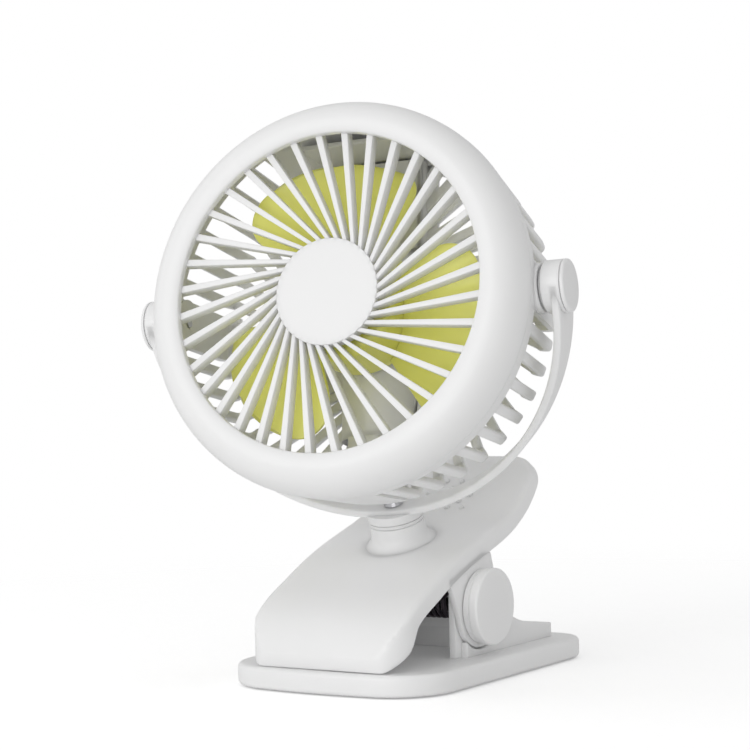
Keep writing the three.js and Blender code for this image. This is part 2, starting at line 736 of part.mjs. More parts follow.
function frontGrille() {
  let body = solidOf(behind(turned(bezelProfile(), 'y', grille.rimSides)));
  const plate = behind(turned([
    [0, grille.face], [grille.discRadius, grille.face],
    [grille.discRadius, grille.rear], [grille.discRadius - 2, grille.rear],
    [grille.discRadius - 2, grille.face + grille.discThickness], [0, grille.face + grille.discThickness],
  ], 'y', grille.discSides));
  body = body.add(solidOf(plate));
  for (let i = 0; i < grille.spokes; i += 1) {
    const spoke = rearward(spokeOutline(), atDepth(grille.face), atDepth(grille.rear));
    body = body.add(solidOf(spoke.rotateY((-2 * Math.PI * i) / grille.spokes)));
  }
  return node('front_grille', geometryOf(body), 'white');
}

// ---------------------------------------------------------------- rear housing
function outerRadiusAt(depth) {
  return lerp(head.outer - 0.1, shell.rearRadius, (depth - shell.front) / (shell.cornerDepth - shell.front));
}

// side wall in section: (radius, depth), from the band back round the corner to the rear wall
function sideWallProfile(thickness) {
  const r = shell.cornerRadius;
  const cornerR = shell.rearRadius - r;
  const cornerD = shell.rear - r;
  return [
    [outerRadiusAt(shell.bandRear - 1), shell.bandRear - 1],
    ...arcPoints(cornerR, cornerD, r, r, 0, 90, 2),
    [shell.wallRadius - 3, shell.rear],
    [shell.wallRadius - 3, shell.rear - thickness],
    ...arcPoints(cornerR, cornerD, r - thickness, r - thickness, 90, 0, 1),
    [outerRadiusAt(shell.bandRear - 1) - thickness, shell.bandRear - 1],
  ];
}

function band() {
  const inner = head.outer - wall - 2;
  const spigot = head.outer - wall - 1.1;
  const profile = [
    [spigot, shell.spigotFront], [spigot, shell.front], [outerRadiusAt(shell.front), shell.front],
    [outerRadiusAt(shell.bandRear), shell.bandRear], [inner, shell.bandRear],
    [inner, shell.spigotFront], [spigot, shell.spigotFront],
  ];
  return behind(turned(profile, 'y', shell.positions));
}

function rib() {
  const profile = outline(sideWallProfile(shell.ribDepth).map(([r, d]) => [r, atDepth(d)]));
  const geometry = new THREE.ExtrudeGeometry(profile, { depth: shell.ribWidth, bevelEnabled: false });
  return geometry.translate(0, 0, -shell.ribWidth / 2);
}

function rearBar() {
  const far = shell.wallRadius;
  const reach = Math.sqrt(far ** 2 - shell.rearBarOffset ** 2);
  const start = Math.sqrt((shell.rimRadius - 1) ** 2 - shell.rearBarOffset ** 2);
  const half = shell.rearBarWidth / 2;
  const bar = outline([
    [start, shell.rearBarOffset - half], [reach, shell.rearBarOffset - half],
    [reach, shell.rearBarOffset + half], [start, shell.rearBarOffset + half],
  ]);
  const turn = -Math.asin(shell.rearBarOffset / far);
  const geometry = rearward(bar, atDepth(shell.rear - shell.ribDepth), atDepth(shell.rear));
  return geometry.rotateY(-turn);
}

// everything between two angles, seen from the front
function wedge(from, to) {
  const far = 2 * head.outer;
  const corners = [[0, 0]];
  for (const angle of [from, (from + to) / 2, to]) {
    corners.push([far * Math.cos(radians(angle)), far * Math.sin(radians(angle))]);
  }
  return rearward(outline(corners), atDepth(0), atDepth(shell.rear + 1));
}

// tray that holds the cell: a half round front and straight sides, open to the rear
function casingOutline(radius, rearDepth) {
  const shape = new THREE.Shape();
  shape.absarc(0, atDepth(cell.depth), radius, Math.PI, 2 * Math.PI, false);
  shape.lineTo(radius, atDepth(rearDepth));
  shape.lineTo(-radius, atDepth(rearDepth));
  return shape;
}

function rearHousing() {
  let body = solidOf(band());
  const ring = solidOf(behind(turned([...sideWallProfile(wall), sideWallProfile(wall)[0]], 'y', shell.positions)));
  for (const { from, to } of solidSectors) {
    body = body.add(ring.intersect(solidOf(wedge(from, to))));
  }
  const margin = 2;
  const inSolid = (angle) => solidSectors.some(({ from, to }) => {
    const past = (angle - from + margin + 360) % 360;
    return past < to - from + 2 * margin;
  });
  for (let i = 0; i < shell.positions; i += 1) {
    const angle = ((i + 0.5) * 360) / shell.positions;
    if (!inSolid(angle)) body = body.add(solidOf(rib().rotateY(-radians(angle))));
    body = body.add(solidOf(rearBar().rotateY(-radians(angle))));
  }
  body = body.add(solidOf(behind(rod(shell.rimRadius, shell.rear - wall, shell.rear, 'y', 44))));
  const panel = rearward(outline([[-20.9, 0], [20.9, 0], [20.9, 57], [-20.9, 57]]),
    atDepth(shell.rear - wall), atDepth(shell.rear));
  body = body.add(solidOf(panel));
  body = body.add(solidOf(box(-20.9, 20.9, atDepth(24), atDepth(shell.rear - 1), 58.6, 60.5)));
  body = body.add(solidOf(box(-5.5, 5.5, atDepth(33), atDepth(shell.rear - 1), -60.5, cell.bottom - 2)));

  const cellRoom = cell.bottom - 0.5;
  const cellTop = cell.bottom + cell.length + 0.5;
  const traysOuter = join(
    upright(casingOutline(casing.radius, shell.rear), cellRoom - casing.wall, cellTop + casing.wall),
    box(-control.halfWidth, control.halfWidth, atDepth(control.front), atDepth(shell.rear),
      control.bottom - control.wall, control.top + control.wall),
    behind(rod(11.5, 33.8, 40, 'y', 20)),
  );
  const inside = control.halfWidth - control.wall;
  body = body.add(traysOuter);
  body = cut(
    body,
    upright(casingOutline(casing.radius - casing.wall, shell.rear + 5), cellRoom, cellTop),
    box(-inside, inside, atDepth(control.front + control.wall), atDepth(shell.rear + 5), control.bottom, control.top),
  );
  for (const side of [-1, 1]) {
    const from = Math.min(side * 63.5, side * (pivot.inner - 2 * seat - friction.thickness));
    const to = Math.max(side * 63.5, side * (pivot.inner - 2 * seat - friction.thickness));
    body = body.add(solidOf(rod(8.4, from, to, 'x', 20)));
    body = cut(body, rod(pivot.bore, side > 0 ? 62 : -90, side > 0 ? 90 : -62, 'x'));
    body = cut(body, behind(rod(1.5, 30, 42, 'y', 10)).translate(side * 6.5, 0, 0));
  }
  return node('rear_housing', geometryOf(body), 'white');
}

function backCoverPiece() {
  const front = shell.rear + seat;
  const rear = front + backCover.thickness;
  const cellFloor = cell.bottom - 0.5 - casing.wall;
  const cellTop = cell.bottom + cell.length + 0.5;
  const w = control.halfWidth + backCover.lap;
  const narrow = casing.radius + backCover.lap;
  const plate = new THREE.Shape();
  plate.moveTo(-narrow, cellFloor - 2);
  plate.lineTo(narrow, cellFloor - 2);
  plate.lineTo(narrow, cellTop - 8);
  plate.lineTo(w, cellTop);
  plate.lineTo(w, control.top + 3);
  plate.lineTo(-w, control.top + 3);
  plate.lineTo(-w, cellTop);
  plate.lineTo(-narrow, cellTop - 8);
  const hump = new THREE.Shape();
  hump.absarc(0, atDepth(cell.depth), cell.radius + 0.5 + backCover.thickness, 0.2, Math.PI - 0.2, false);
  const hollow = new THREE.Shape();
  hollow.absarc(0, atDepth(cell.depth), cell.radius + 0.5, 0, Math.PI, false);
  let body = solidOf(rearward(plate, atDepth(front), atDepth(rear)));
  body = body.add(solidOf(upright(hump, cellFloor, cellTop, 0, 10)).intersect(
    solidOf(box(-40, 40, atDepth(front), atDepth(front + 20), -80, 80))));
  body = cut(body, upright(hollow, cell.bottom - 0.4, cellTop - 0.2, 0, 10));
  body = cut(
    body,
    behind(rod(button.radius + button.clearance, front - 1, rear + 1, 'y', 16)).translate(0, 0, button.z),
    behind(rod(lens.radius + button.clearance, front - 1, rear + 1, 'y', 10)).translate(0, 0, lens.z),
    rearward(roundedBox(socket.width + 0.8, socket.height + 0.8, 1, 0, socket.z), atDepth(front - 1), atDepth(rear + 1)),
  );
  return node('back_cover', geometryOf(body), 'white');
}

// ---------------------------------------------------------------- inside the head
function batteryCell() {
  return node('battery_cell', rod(cell.radius, cell.bottom, cell.bottom + cell.length, 'z', 20)
    .translate(0, atDepth(cell.depth), 0), 'cell');
}

const boardFront = control.front + control.wall + seat;
const boardRear = boardFront + board.thickness;

function circuitBoard() {
  const middle = (control.bottom + control.top) / 2;
  const h = board.height / 2;
  const w = board.width / 2;
  return node('circuit_board', box(-w, w, atDepth(boardFront), atDepth(boardRear), middle - h, middle + h), 'board');
}

function usbSocket() {
  const rear = shell.rear + seat + backCover.thickness - 0.4;
  const w = socket.width / 2;
  const h = socket.height / 2;
  const can = box(-w, w, atDepth(boardRear + seat), atDepth(rear), socket.z - h, socket.z + h);
  const mouth = box(-w + 0.5, w - 0.5, atDepth(rear - 4), atDepth(rear + 1), socket.z - h + 0.5, socket.z + h - 0.5);
  const tongue = box(-w + 1.6, w - 1.6, atDepth(rear - 4.2), atDepth(rear - 1), socket.z - 0.3, socket.z + 0.3);
  return node('usb_socket', geometryOf(cut(solidOf(can), mouth).add(solidOf(tongue))), 'steel');
}

function powerSwitch() {
  const body = box(-3, 3, atDepth(boardRear + seat), atDepth(boardRear + 2.4), button.z - 3, button.z + 3);
  return node('power_switch', body, 'dark');
}

function powerButton() {
  const face = shell.rear + seat + backCover.thickness + button.proud;
  const stem = boardRear + 2.4 + button.travel + seat;
  const profile = [
    [0, stem], [1.8, stem], [1.8, shell.rear - 0.6], [button.radius, shell.rear - 0.6],
    [button.radius, face - 0.8], [button.radius - 0.8, face], [0, face],
  ];
  return node('power_button', behind(turned(profile, 'y', 16)).translate(0, 0, button.z), 'white');
}

function indicatorLens() {
  const face = shell.rear + seat + backCover.thickness + 0.2;
  return node('indicator_lens', behind(rod(lens.radius, boardRear + seat, face, 'y', 10))
    .translate(0, 0, lens.z), 'lens');
}

function motorBody() {
  const rear = 33.8 - seat;
  const profile = [
    [motor.shaftRadius + seat, motor.front], [5, motor.front], [5, motor.front + 1.5],
    [motor.radius - 1, motor.front + 1.5], [motor.radius, motor.front + 2.5], [motor.radius, rear - 3],
    [10.5, rear - 2], [10.5, rear], [motor.shaftRadius + seat, rear], [motor.shaftRadius + seat, motor.front],
  ];
  return node('motor_body', behind(turned(profile, 'y', 20)), 'dark');
}

function motorShaft() {
  const front = hub.front + hub.wall + seat;
  const profile = [
    [0, front], [motor.shaftRadius - 0.3, front], [motor.shaftRadius, front + 0.3],
    [motor.shaftRadius, 32.4], [0, 32.4],
  ];
  return node('motor_shaft', behind(turned(profile, 'y', 12)), 'steel');
}

function motorScrews() {
  const floor = cell.depth - Math.sqrt((casing.radius - casing.wall) ** 2 - 6.5 ** 2);
  return [-6.5, 6.5].map((x, i) => node(`motor_screw_${i + 1}`, behind(turned([
    [0, 33.8], [1.2, 33.8], [1.2, floor + seat], [0, floor + seat],
  ], 'y', 16)).translate(x, 0, 0), 'steel'));
}

// ---------------------------------------------------------------- rotor
function bladeLead(radius) {
  const inner = THREE.MathUtils.clamp((radius - hub.radius) / 13, 0, 1);
  const round = THREE.MathUtils.clamp((radius - 37) / (blade.tip - 37), 0, 1);
  return 9.5 * Math.sin((Math.PI / 2) * inner) - 18 * (1 - Math.sqrt(1 - round * round));
}

function bladeTrail(radius) {
  const round = THREE.MathUtils.clamp((radius - 43) / (blade.tip - 43), 0, 1);
  return blade.sweep - 9 * (1 - Math.sqrt(1 - round * round));
}

function bladeDepth(radius, chord) {
  const out = (radius - hub.radius) / (blade.tip - hub.radius);
  const front = lerp(12, blade.tipFront, out);
  const rear = lerp(29.5, blade.tipRear, out);
  return front + (rear - front) * chord ** lerp(1.25, 2.2, out);
}

// a twisted blade: rows of points from the hub to the tip, front face and rear face
function oneBlade() {
  const rows = 5;
  const columns = 7;
  const positions = [];
  for (const face of [-1, 1]) {
    for (let i = 0; i <= rows; i += 1) {
      const radius = lerp(hub.radius - 1.2, blade.tip, Math.sin((Math.PI / 2) * (i / rows)));
      const lead = blade.rootAngle + bladeLead(radius);
      const trail = blade.rootAngle - bladeTrail(radius);
      for (let k = 0; k <= columns; k += 1) {
        const chord = k / columns;
        const angle = radians(lerp(lead, trail, chord));
        const edge = Math.min(1, 0.4 + 4 * Math.min(chord, 1 - chord), 0.5 + 3 * (1 - i / rows));
        const depth = bladeDepth(radius, chord) + (face * blade.thickness * edge) / 2;
        positions.push(radius * Math.cos(angle), atDepth(depth), radius * Math.sin(angle));
      }
    }
  }
  const stride = columns + 1;
  const back = (rows + 1) * stride;
  const faces = [];
  for (let i = 0; i < rows; i += 1) {
    for (let k = 0; k < columns; k += 1) {
      const a = i * stride + k;
      faces.push(a, a + 1, a + stride, a + 1, a + stride + 1, a + stride);
      const b = back + a;
      faces.push(b, b + stride, b + 1, b + 1, b + stride, b + stride + 1);
    }
  }
  const side = (a, b) => faces.push(a, b + back, b, a, a + back, b + back);
  for (let k = 0; k < columns; k += 1) {
    side(k, k + 1);
    side(rows * stride + k + 1, rows * stride + k);
  }
  for (let i = 0; i < rows; i += 1) {
    side((i + 1) * stride, i * stride);
    side(i * stride + columns, (i + 1) * stride + columns);
  }
  const geometry = new THREE.BufferGeometry();
  geometry.setAttribute('position', new THREE.Float32BufferAttribute(positions, 3));
  geometry.setIndex(faces);
  return geometry;
}

function fanRotor() {
  const r = hub.radius;
  const bossRear = motor.front - 0.8;
  let body = solidOf(behind(turned([
    [0, hub.front], [r - 2.5, hub.front], ...arcPoints(r - 2.5, hub.front + 2.5, 2.5, 2.5, 270, 360, 3).slice(1),
    [r, hub.rear], [r - hub.wall, hub.rear], [r - hub.wall, hub.front + hub.wall + 1],
    [r - hub.wall - 1, hub.front + hub.wall], [hub.boss, hub.front + hub.wall], [hub.boss, bossRear], [0, bossRear],
  ], 'y', 30)));
  const cavity = solidOf(behind(rod(r - hub.wall, hub.front + hub.wall, 45, 'y', 30)));
  for (let i = 0; i < blade.count; i += 1) {
    const turned0 = oneBlade().rotateY((2 * Math.PI * i) / blade.count);
    body = body.add(solidOf(turned0).subtract(cavity));
  }
  body = cut(body, behind(rod(motor.shaftRadius + seat, hub.front + hub.wall, 40, 'y', 20)));
  return node('fan_rotor', geometryOf(body), 'blade');
}

// ---------------------------------------------------------------- assembly
const fan = new THREE.Group();
fan.add(baseShell(), baseCover(), ...baseScrews(), basePad(), lowerJawPad());
fan.add(clipPin(), clipPinCap('pin_cap_left', -1), clipPinCap('pin_cap_right', 1), torsionSpring());
fan.add(clipLever(), upperJawPad(), swivelWasher(), swivelScrew(), swivelNut());

const leaning = new THREE.Group();
leaning.position.set(0, neck.y, neck.z);
leaning.rotation.x = radians(neck.lean);
fan.add(leaning);

const turning = new THREE.Group();
turning.rotation.z = radians(swivel.angle);
leaning.add(turning);

const pivotLine = new THREE.Group();
pivotLine.position.z = yoke.pivotHeight;
turning.add(pivotLine);
pivotLine.add(yokeBody(), pivotCap('pivot_cap_left', -1), pivotCap('pivot_cap_right', 1));
pivotLine.add(pivotScrew('pivot_screw_left', -1), pivotScrew('pivot_screw_right', 1));
pivotLine.add(frictionWasher('friction_washer_left', -1), frictionWasher('friction_washer_right', 1));

const headGroup = new THREE.Group();
headGroup.rotation.x = radians(tilt);
pivotLine.add(headGroup);
headGroup.add(frontGrille(), rearHousing(), backCoverPiece(), batteryCell(), circuitBoard());
headGroup.add(usbSocket(), powerSwitch(), powerButton(), indicatorLens());
headGroup.add(motorBody(), ...motorScrews(), motorShaft(), fanRotor());

export default fan;
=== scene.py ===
import json
import math

import bpy
from mathutils import Matrix, Vector


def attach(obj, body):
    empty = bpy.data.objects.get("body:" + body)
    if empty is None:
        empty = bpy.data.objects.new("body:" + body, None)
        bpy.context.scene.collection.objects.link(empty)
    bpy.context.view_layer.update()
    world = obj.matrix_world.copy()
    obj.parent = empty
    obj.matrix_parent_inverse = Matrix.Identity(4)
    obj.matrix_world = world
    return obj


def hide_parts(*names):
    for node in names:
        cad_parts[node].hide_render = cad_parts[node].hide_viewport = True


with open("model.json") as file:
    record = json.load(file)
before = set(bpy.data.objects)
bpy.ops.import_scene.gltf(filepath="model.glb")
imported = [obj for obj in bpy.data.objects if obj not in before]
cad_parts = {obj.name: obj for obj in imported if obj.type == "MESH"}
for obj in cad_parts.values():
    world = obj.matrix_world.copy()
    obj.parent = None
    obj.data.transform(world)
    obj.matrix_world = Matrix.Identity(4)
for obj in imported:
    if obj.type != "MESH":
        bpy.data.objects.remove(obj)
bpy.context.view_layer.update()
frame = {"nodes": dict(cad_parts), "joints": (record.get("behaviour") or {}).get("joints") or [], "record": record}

# ---------------------------------------------------------------- camera
# The photograph was taken from the front right, level with the neck of the fan,
# with a long lens and the camera tipped a little to one side.
scene = bpy.context.scene
scene.view_settings.view_transform = "Standard"
turn = Matrix.Rotation(math.radians(32.97), 3, "Z")
dip = Matrix.Rotation(math.radians(-0.38), 3, "X")
roll = Matrix.Rotation(math.radians(1.43), 3, "Y")
looking = turn @ dip @ roll
right, forward, above = looking.col[0], looking.col[1], looking.col[2]
camera = bpy.data.objects.new("camera", bpy.data.cameras.new("camera"))
scene.collection.objects.link(camera)
camera.data.sensor_width = 36
camera.data.lens = 100.8
camera.data.clip_end = 50
camera.matrix_world = Matrix((
    (right.x, above.x, -forward.x, 0.3978),
    (right.y, above.y, -forward.y, -0.6305),
    (right.z, above.z, -forward.z, 0.1103),
    (0, 0, 0, 1),
))
scene.camera = camera

# ---------------------------------------------------------------- studio
# A pale floor that fades into a white backdrop, an even pale room,
# and three large soft lamps, two of them in front of the fan, high and low.
world = bpy.data.worlds.new("room")
scene.world = world
world.use_nodes = True
tree = world.node_tree
tree.nodes.clear()
room = tree.nodes.new("ShaderNodeBackground")
room.inputs["Color"].default_value = (1, 1, 1, 1)
room.inputs["Strength"].default_value = 0.63
backdrop = tree.nodes.new("ShaderNodeBackground")
backdrop.inputs["Color"].default_value = (1, 1, 1, 1)
backdrop.inputs["Strength"].default_value = 1.0
seen = tree.nodes.new("ShaderNodeLightPath")
either = tree.nodes.new("ShaderNodeMath")
either.operation = "MAXIMUM"
tree.links.new(seen.outputs["Is Camera Ray"], either.inputs[0])
tree.links.new(seen.outputs["Is Transmission Ray"], either.inputs[1])
choose = tree.nodes.new("ShaderNodeMixShader")
tree.links.new(either.outputs[0], choose.inputs[0])
tree.links.new(room.outputs[0], choose.inputs[1])
tree.links.new(backdrop.outputs[0], choose.inputs[2])
target = tree.nodes.new("ShaderNodeOutputWorld")
tree.links.new(choose.outputs[0], target.inputs["Surface"])


def soft_lamp(name, place, aim, size, power):
    lamp = bpy.data.objects.new(name, bpy.data.lights.new(name, "AREA"))
    lamp.data.shape = "SQUARE"
    lamp.data.size = size
    lamp.data.energy = power
    lamp.location = place
    lamp.rotation_euler = (Vector(aim) - Vector(place)).to_track_quat("-Z", "Y").to_euler()
    scene.collection.objects.link(lamp)


soft_lamp("lamp_front", (-0.22, -1.2, 0.52), (0, -0.03, 0.12), 0.6, 3.0)
soft_lamp("lamp_low", (0.4, -1.15, 0.1), (0, -0.03, 0.08), 0.5, 2.2)
soft_lamp("lamp_left", (-0.9, -0.35, 0.75), (0, -0.02, 0.1), 0.7, 0.8)

bpy.ops.object.select_all(action="DESELECT")
bpy.ops.mesh.primitive_circle_add(vertices=64, radius=1.2, fill_type="NGON", location=(0, 0, 0))
floor = bpy.context.object
floor.name = "floor"
paper = bpy.data.materials.new("floor_paper")
paper.use_nodes = True
tree = paper.node_tree
tree.nodes.clear()
place = tree.nodes.new("ShaderNodeTexCoord")
reach = tree.nodes.new("ShaderNodeVectorMath")
reach.operation = "LENGTH"
tree.links.new(place.outputs["Object"], reach.inputs[0])
fade = tree.nodes.new("ShaderNodeMapRange")
fade.inputs["From Min"].default_value = 0.1
fade.inputs["From Max"].default_value = 0.5
tree.links.new(reach.outputs["Value"], fade.inputs["Value"])
sheet_white = tree.nodes.new("ShaderNodeBsdfDiffuse")
sheet_white.inputs["Color"].default_value = (0.96, 0.96, 0.96, 1)
glow = tree.nodes.new("ShaderNodeEmission")
glow.inputs["Color"].default_value = (1, 1, 1, 1)
seen = tree.nodes.new("ShaderNodeLightPath")
paler = tree.nodes.new("ShaderNodeMath")
paler.operation = "MULTIPLY"
paler.inputs[1].default_value = 0.3
tree.links.new(seen.outputs["Is Camera Ray"], paler.inputs[0])
tree.links.new(paler.outputs[0], glow.inputs["Strength"])
lit = tree.nodes.new("ShaderNodeAddShader")
tree.links.new(sheet_white.outputs[0], lit.inputs[0])
tree.links.new(glow.outputs[0], lit.inputs[1])
clear = tree.nodes.new("ShaderNodeBsdfTransparent")
blend = tree.nodes.new("ShaderNodeMixShader")
tree.links.new(fade.outputs["Result"], blend.inputs[0])
tree.links.new(lit.outputs[0], blend.inputs[1])
tree.links.new(clear.outputs[0], blend.inputs[2])
target = tree.nodes.new("ShaderNodeOutputMaterial")
tree.links.new(blend.outputs[0], target.inputs["Surface"])
floor.data.materials.append(paper)

# ---------------------------------------------------------------- front grille
# One white moulding: a full rounded ring, thirty-six blades of plastic swept
# round one way, and a plain flat disc in the middle that they grow out of.
MM = 0.001
OPENING, LIP, CROWN, SEAM = 55, 2.2, 59.5, 11.75  # radius, depth, radius, depth
DISC, DISC_FACE, FACE, REAR = 18.4, 1.25, 1.5, 6
SPOKES, OFFSET = 36, 10.6  # each spoke's middle line passes the centre at this distance
THIN, WIDE = 1.3, 2.4  # width of a spoke at the disc and under the ring


def moulded_skin():
    """Slight unevenness that every moulded or coated surface here shares."""
    group = bpy.data.node_groups.new("moulded_skin", "ShaderNodeTree")
    ask = group.interface.new_socket
    ask("Colour", in_out="INPUT", socket_type="NodeSocketColor")
    ask("Roughness", in_out="INPUT", socket_type="NodeSocketFloat")
    ask("Unevenness", in_out="INPUT", socket_type="NodeSocketFloat")
    ask("Grain size", in_out="INPUT", socket_type="NodeSocketFloat")
    ask("Colour", in_out="OUTPUT", socket_type="NodeSocketColor")
    ask("Roughness", in_out="OUTPUT", socket_type="NodeSocketFloat")
    ask("Height", in_out="OUTPUT", socket_type="NodeSocketFloat")
    add, tie = group.nodes.new, group.links.new
    given = add("NodeGroupInput")
    where = add("ShaderNodeTexCoord")
    cloud = add("ShaderNodeTexNoise")
    cloud.inputs["Scale"].default_value = 45
    cloud.inputs["Detail"].default_value = 3
    tie(where.outputs["Object"], cloud.inputs["Vector"])
    grain = add("ShaderNodeTexNoise")
    grain.inputs["Detail"].default_value = 2
    tie(given.outputs["Grain size"], grain.inputs["Scale"])
    tie(where.outputs["Object"], grain.inputs["Vector"])
    swing = add("ShaderNodeMath")
    swing.operation = "SUBTRACT"
    tie(cloud.outputs["Fac"], swing.inputs[0])
    swing.inputs[1].default_value = 0.5
    scaled = add("ShaderNodeMath")
    scaled.operation = "MULTIPLY"
    tie(swing.outputs[0], scaled.inputs[0])
    tie(given.outputs["Unevenness"], scaled.inputs[1])
    tone = add("ShaderNodeMath")
    tone.operation = "ADD"
    tone.inputs[1].default_value = 1
    tie(scaled.outputs[0], tone.inputs[0])
    tinted = add("ShaderNodeHueSaturation")
    tie(tone.outputs[0], tinted.inputs["Value"])
    tie(given.outputs["Colour"], tinted.inputs["Color"])
    gloss = add("ShaderNodeMath")
    gloss.operation = "MULTIPLY"
    tie(given.outputs["Roughness"], gloss.inputs[0])
    tie(tone.outputs[0], gloss.inputs[1])
    result = add("NodeGroupOutput")
    tie(tinted.outputs["Color"], result.inputs["Colour"])
    tie(gloss.outputs[0], result.inputs["Roughness"])
    tie(grain.outputs["Fac"], result.inputs["Height"])
    return group


skin = moulded_skin()


def finish(name, colour, roughness, uneven=0.04, grain=2600, bump=0.04, metallic=0.0, coat=0.0,
           milky=0.0):
    """A material: the shared skin with its own colour, gloss and grain."""
    material = bpy.data.materials.new(name)
    material.use_nodes = True
    nodes, links = material.node_tree.nodes, material.node_tree.links
    surface = nodes["Principled BSDF"]
    surface.inputs["Metallic"].default_value = metallic
    surface.inputs["Coat Weight"].default_value = coat
    surface.inputs["Coat Roughness"].default_value = 0.2
    surface.inputs["Subsurface Weight"].default_value = milky
    surface.inputs["Subsurface Radius"].default_value = (1, 1, 1)
    surface.inputs["Subsurface Scale"].default_value = 0.002
    cover = nodes.new("ShaderNodeGroup")
    cover.node_tree = skin
    cover.inputs["Colour"].default_value = (*colour, 1)
    cover.inputs["Roughness"].default_value = roughness
    cover.inputs["Unevenness"].default_value = uneven
    cover.inputs["Grain size"].default_value = grain
    texture = nodes.new("ShaderNodeBump")
    texture.inputs["Strength"].default_value = bump
    texture.inputs["Distance"].default_value = 0.0001
    links.new(cover.outputs["Colour"], surface.inputs["Base Color"])
    links.new(cover.outputs["Roughness"], surface.inputs["Roughness"])
    links.new(cover.outputs["Height"], texture.inputs["Height"])
    links.new(texture.outputs["Normal"], surface.inputs["Normal"])
    return material


white_plastic = finish("white_plastic", (0.86, 0.86, 0.86), 0.38, uneven=0.03, milky=0.35)


def bow(centre_a, centre_b, radius_a, radius_b, start, stop, steps):
    """Points on an arc or a quarter of an ellipse, angles in degrees."""
    points = []
    for i in range(steps + 1):
        angle = math.radians(start + (stop - start) * i / steps)
        points.append((centre_a + radius_a * math.cos(angle), centre_b + radius_b * math.sin(angle)))
    return points


def pulled_line(name, points):
    """An object in edit mode that holds one line of edges through the points, in millimetres."""
    bpy.ops.object.select_all(action="DESELECT")
    bpy.ops.mesh.primitive_plane_add(size=MM, location=(0, 0, 0))
    piece = bpy.context.object
    piece.name = name
    piece.data.name = name
    bpy.ops.object.mode_set(mode="EDIT")
    bpy.ops.mesh.select_all(action="SELECT")
    bpy.ops.mesh.merge(type="CENTER")
    path = [Vector(point) * MM for point in points]
    bpy.ops.transform.translate(value=path[0])
    for before, after in zip(path, path[1:]):
        bpy.ops.mesh.extrude_vertices_move(TRANSFORM_OT_translate={"value": after - before})
    return piece


AXES = {"x": (1, 0, 0), "y": (0, 1, 0), "z": (0, 0, 1)}


def on_plane(axis, along, across, height):
    """A point of a drawing: height runs along the axis, the other two lie across it."""
    if axis == "x":
        return (height, along, across)
    if axis == "y":
        return (along, height, across)
    return (along, across, height)


def turned(name, profile, axis, steps=96, angle=360):
    """A profile of (radius, height) pairs spun about an axis; closed where it meets itself or the axis."""
    piece = pulled_line(name, [on_plane(axis, r, 0, h) for r, h in profile])
    bpy.ops.mesh.select_all(action="SELECT")
    bpy.ops.mesh.spin(steps=steps, angle=math.radians(angle), center=(0, 0, 0), axis=AXES[axis])
    bpy.ops.mesh.select_all(action="SELECT")
    bpy.ops.mesh.remove_doubles(threshold=1e-6)
    bpy.ops.mesh.select_all(action="SELECT")
    bpy.ops.mesh.normals_make_consistent(inside=False)
    bpy.ops.object.mode_set(mode="OBJECT")
    return piece


def slab(name, outline, axis, start, stop):
    """A closed outline drawn across an axis and pulled along it from start to stop."""
    piece = pulled_line(name, [on_plane(axis, a, b, start) for a, b in outline])
    bpy.ops.mesh.select_all(action="SELECT")
    bpy.ops.mesh.edge_face_add()
    bpy.ops.mesh.select_all(action="SELECT")
    pull = Vector(AXES[axis]) * (stop - start) * MM
    bpy.ops.mesh.extrude_region_move(TRANSFORM_OT_translate={"value": pull})
    bpy.ops.mesh.select_all(action="SELECT")
    bpy.ops.mesh.normals_make_consistent(inside=False)
    bpy.ops.object.mode_set(mode="OBJECT")
    return piece


def apply_modifier(piece, kind, **settings):
    modifier = piece.modifiers.new(kind.lower(), kind)
    for key, value in settings.items():
        setattr(modifier, key, value)
    bpy.ops.object.select_all(action="DESELECT")
    piece.select_set(True)
    bpy.context.view_layer.objects.active = piece
    bpy.ops.object.modifier_apply(modifier=modifier.name)


def soften(piece, width, segments=2, angle=32):
    """Rounds the edges as a mould does."""
    apply_modifier(piece, "BEVEL", width=width * MM, segments=segments, limit_method="ANGLE",
                   angle_limit=math.radians(angle))


def round_copies(piece, axis, count, step):
    """Copies all of the piece round an axis through the origin, step degrees apart."""
    bpy.ops.object.select_all(action="DESELECT")
    piece.select_set(True)
    bpy.context.view_layer.objects.active = piece
    bpy.ops.object.mode_set(mode="EDIT")
    bpy.ops.mesh.select_all(action="SELECT")
    bpy.ops.mesh.spin(steps=count - 1, dupli=True, angle=math.radians(step * (count - 1)),
                      center=(0, 0, 0), axis=AXES[axis])
    bpy.ops.object.mode_set(mode="OBJECT")


def joined(name, pieces):
    bpy.ops.object.select_all(action="DESELECT")
    for piece in pieces:
        piece.select_set(True)
    bpy.context.view_layer.objects.active = pieces[0]
    if len(pieces) > 1:
        bpy.ops.object.join()
    whole = bpy.context.object
    whole.name = name
    whole.data.name = name
    return whole


def fitted(piece, matrix, material, slot, body, *nodes, smooth=35):
    """Puts a finished piece in its place, gives it its finish and fixes it to its body."""
    if matrix is not None:
        piece.data.transform(matrix)
    bpy.ops.object.select_all(action="DESELECT")
    piece.select_set(True)
    bpy.context.view_layer.objects.active = piece
    bpy.ops.object.shade_smooth_by_angle(angle=math.radians(smooth))
    piece.data.materials.clear()
    piece.data.materials.append(material)
    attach(piece, body)
    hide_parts(*nodes)
    return piece


# the head's own axes: to its right, to its rear and up, about the line of the tilt pivots
joints = {joint["name"]: joint for joint in frame["joints"]}
pivot = Vector(joints["head_tilt"]["pos_m"])
head_x = Vector(joints["head_tilt"]["axis"]).normalized()
head_y = Vector(joints["rotor_spin"]["axis"]).normalized()
head_z = head_x.cross(head_y)


def standing(x_axis, y_axis, z_axis, origin):
    matrix = Matrix((x_axis, y_axis, z_axis)).transposed().to_4x4()
    matrix.translation = origin
    return matrix


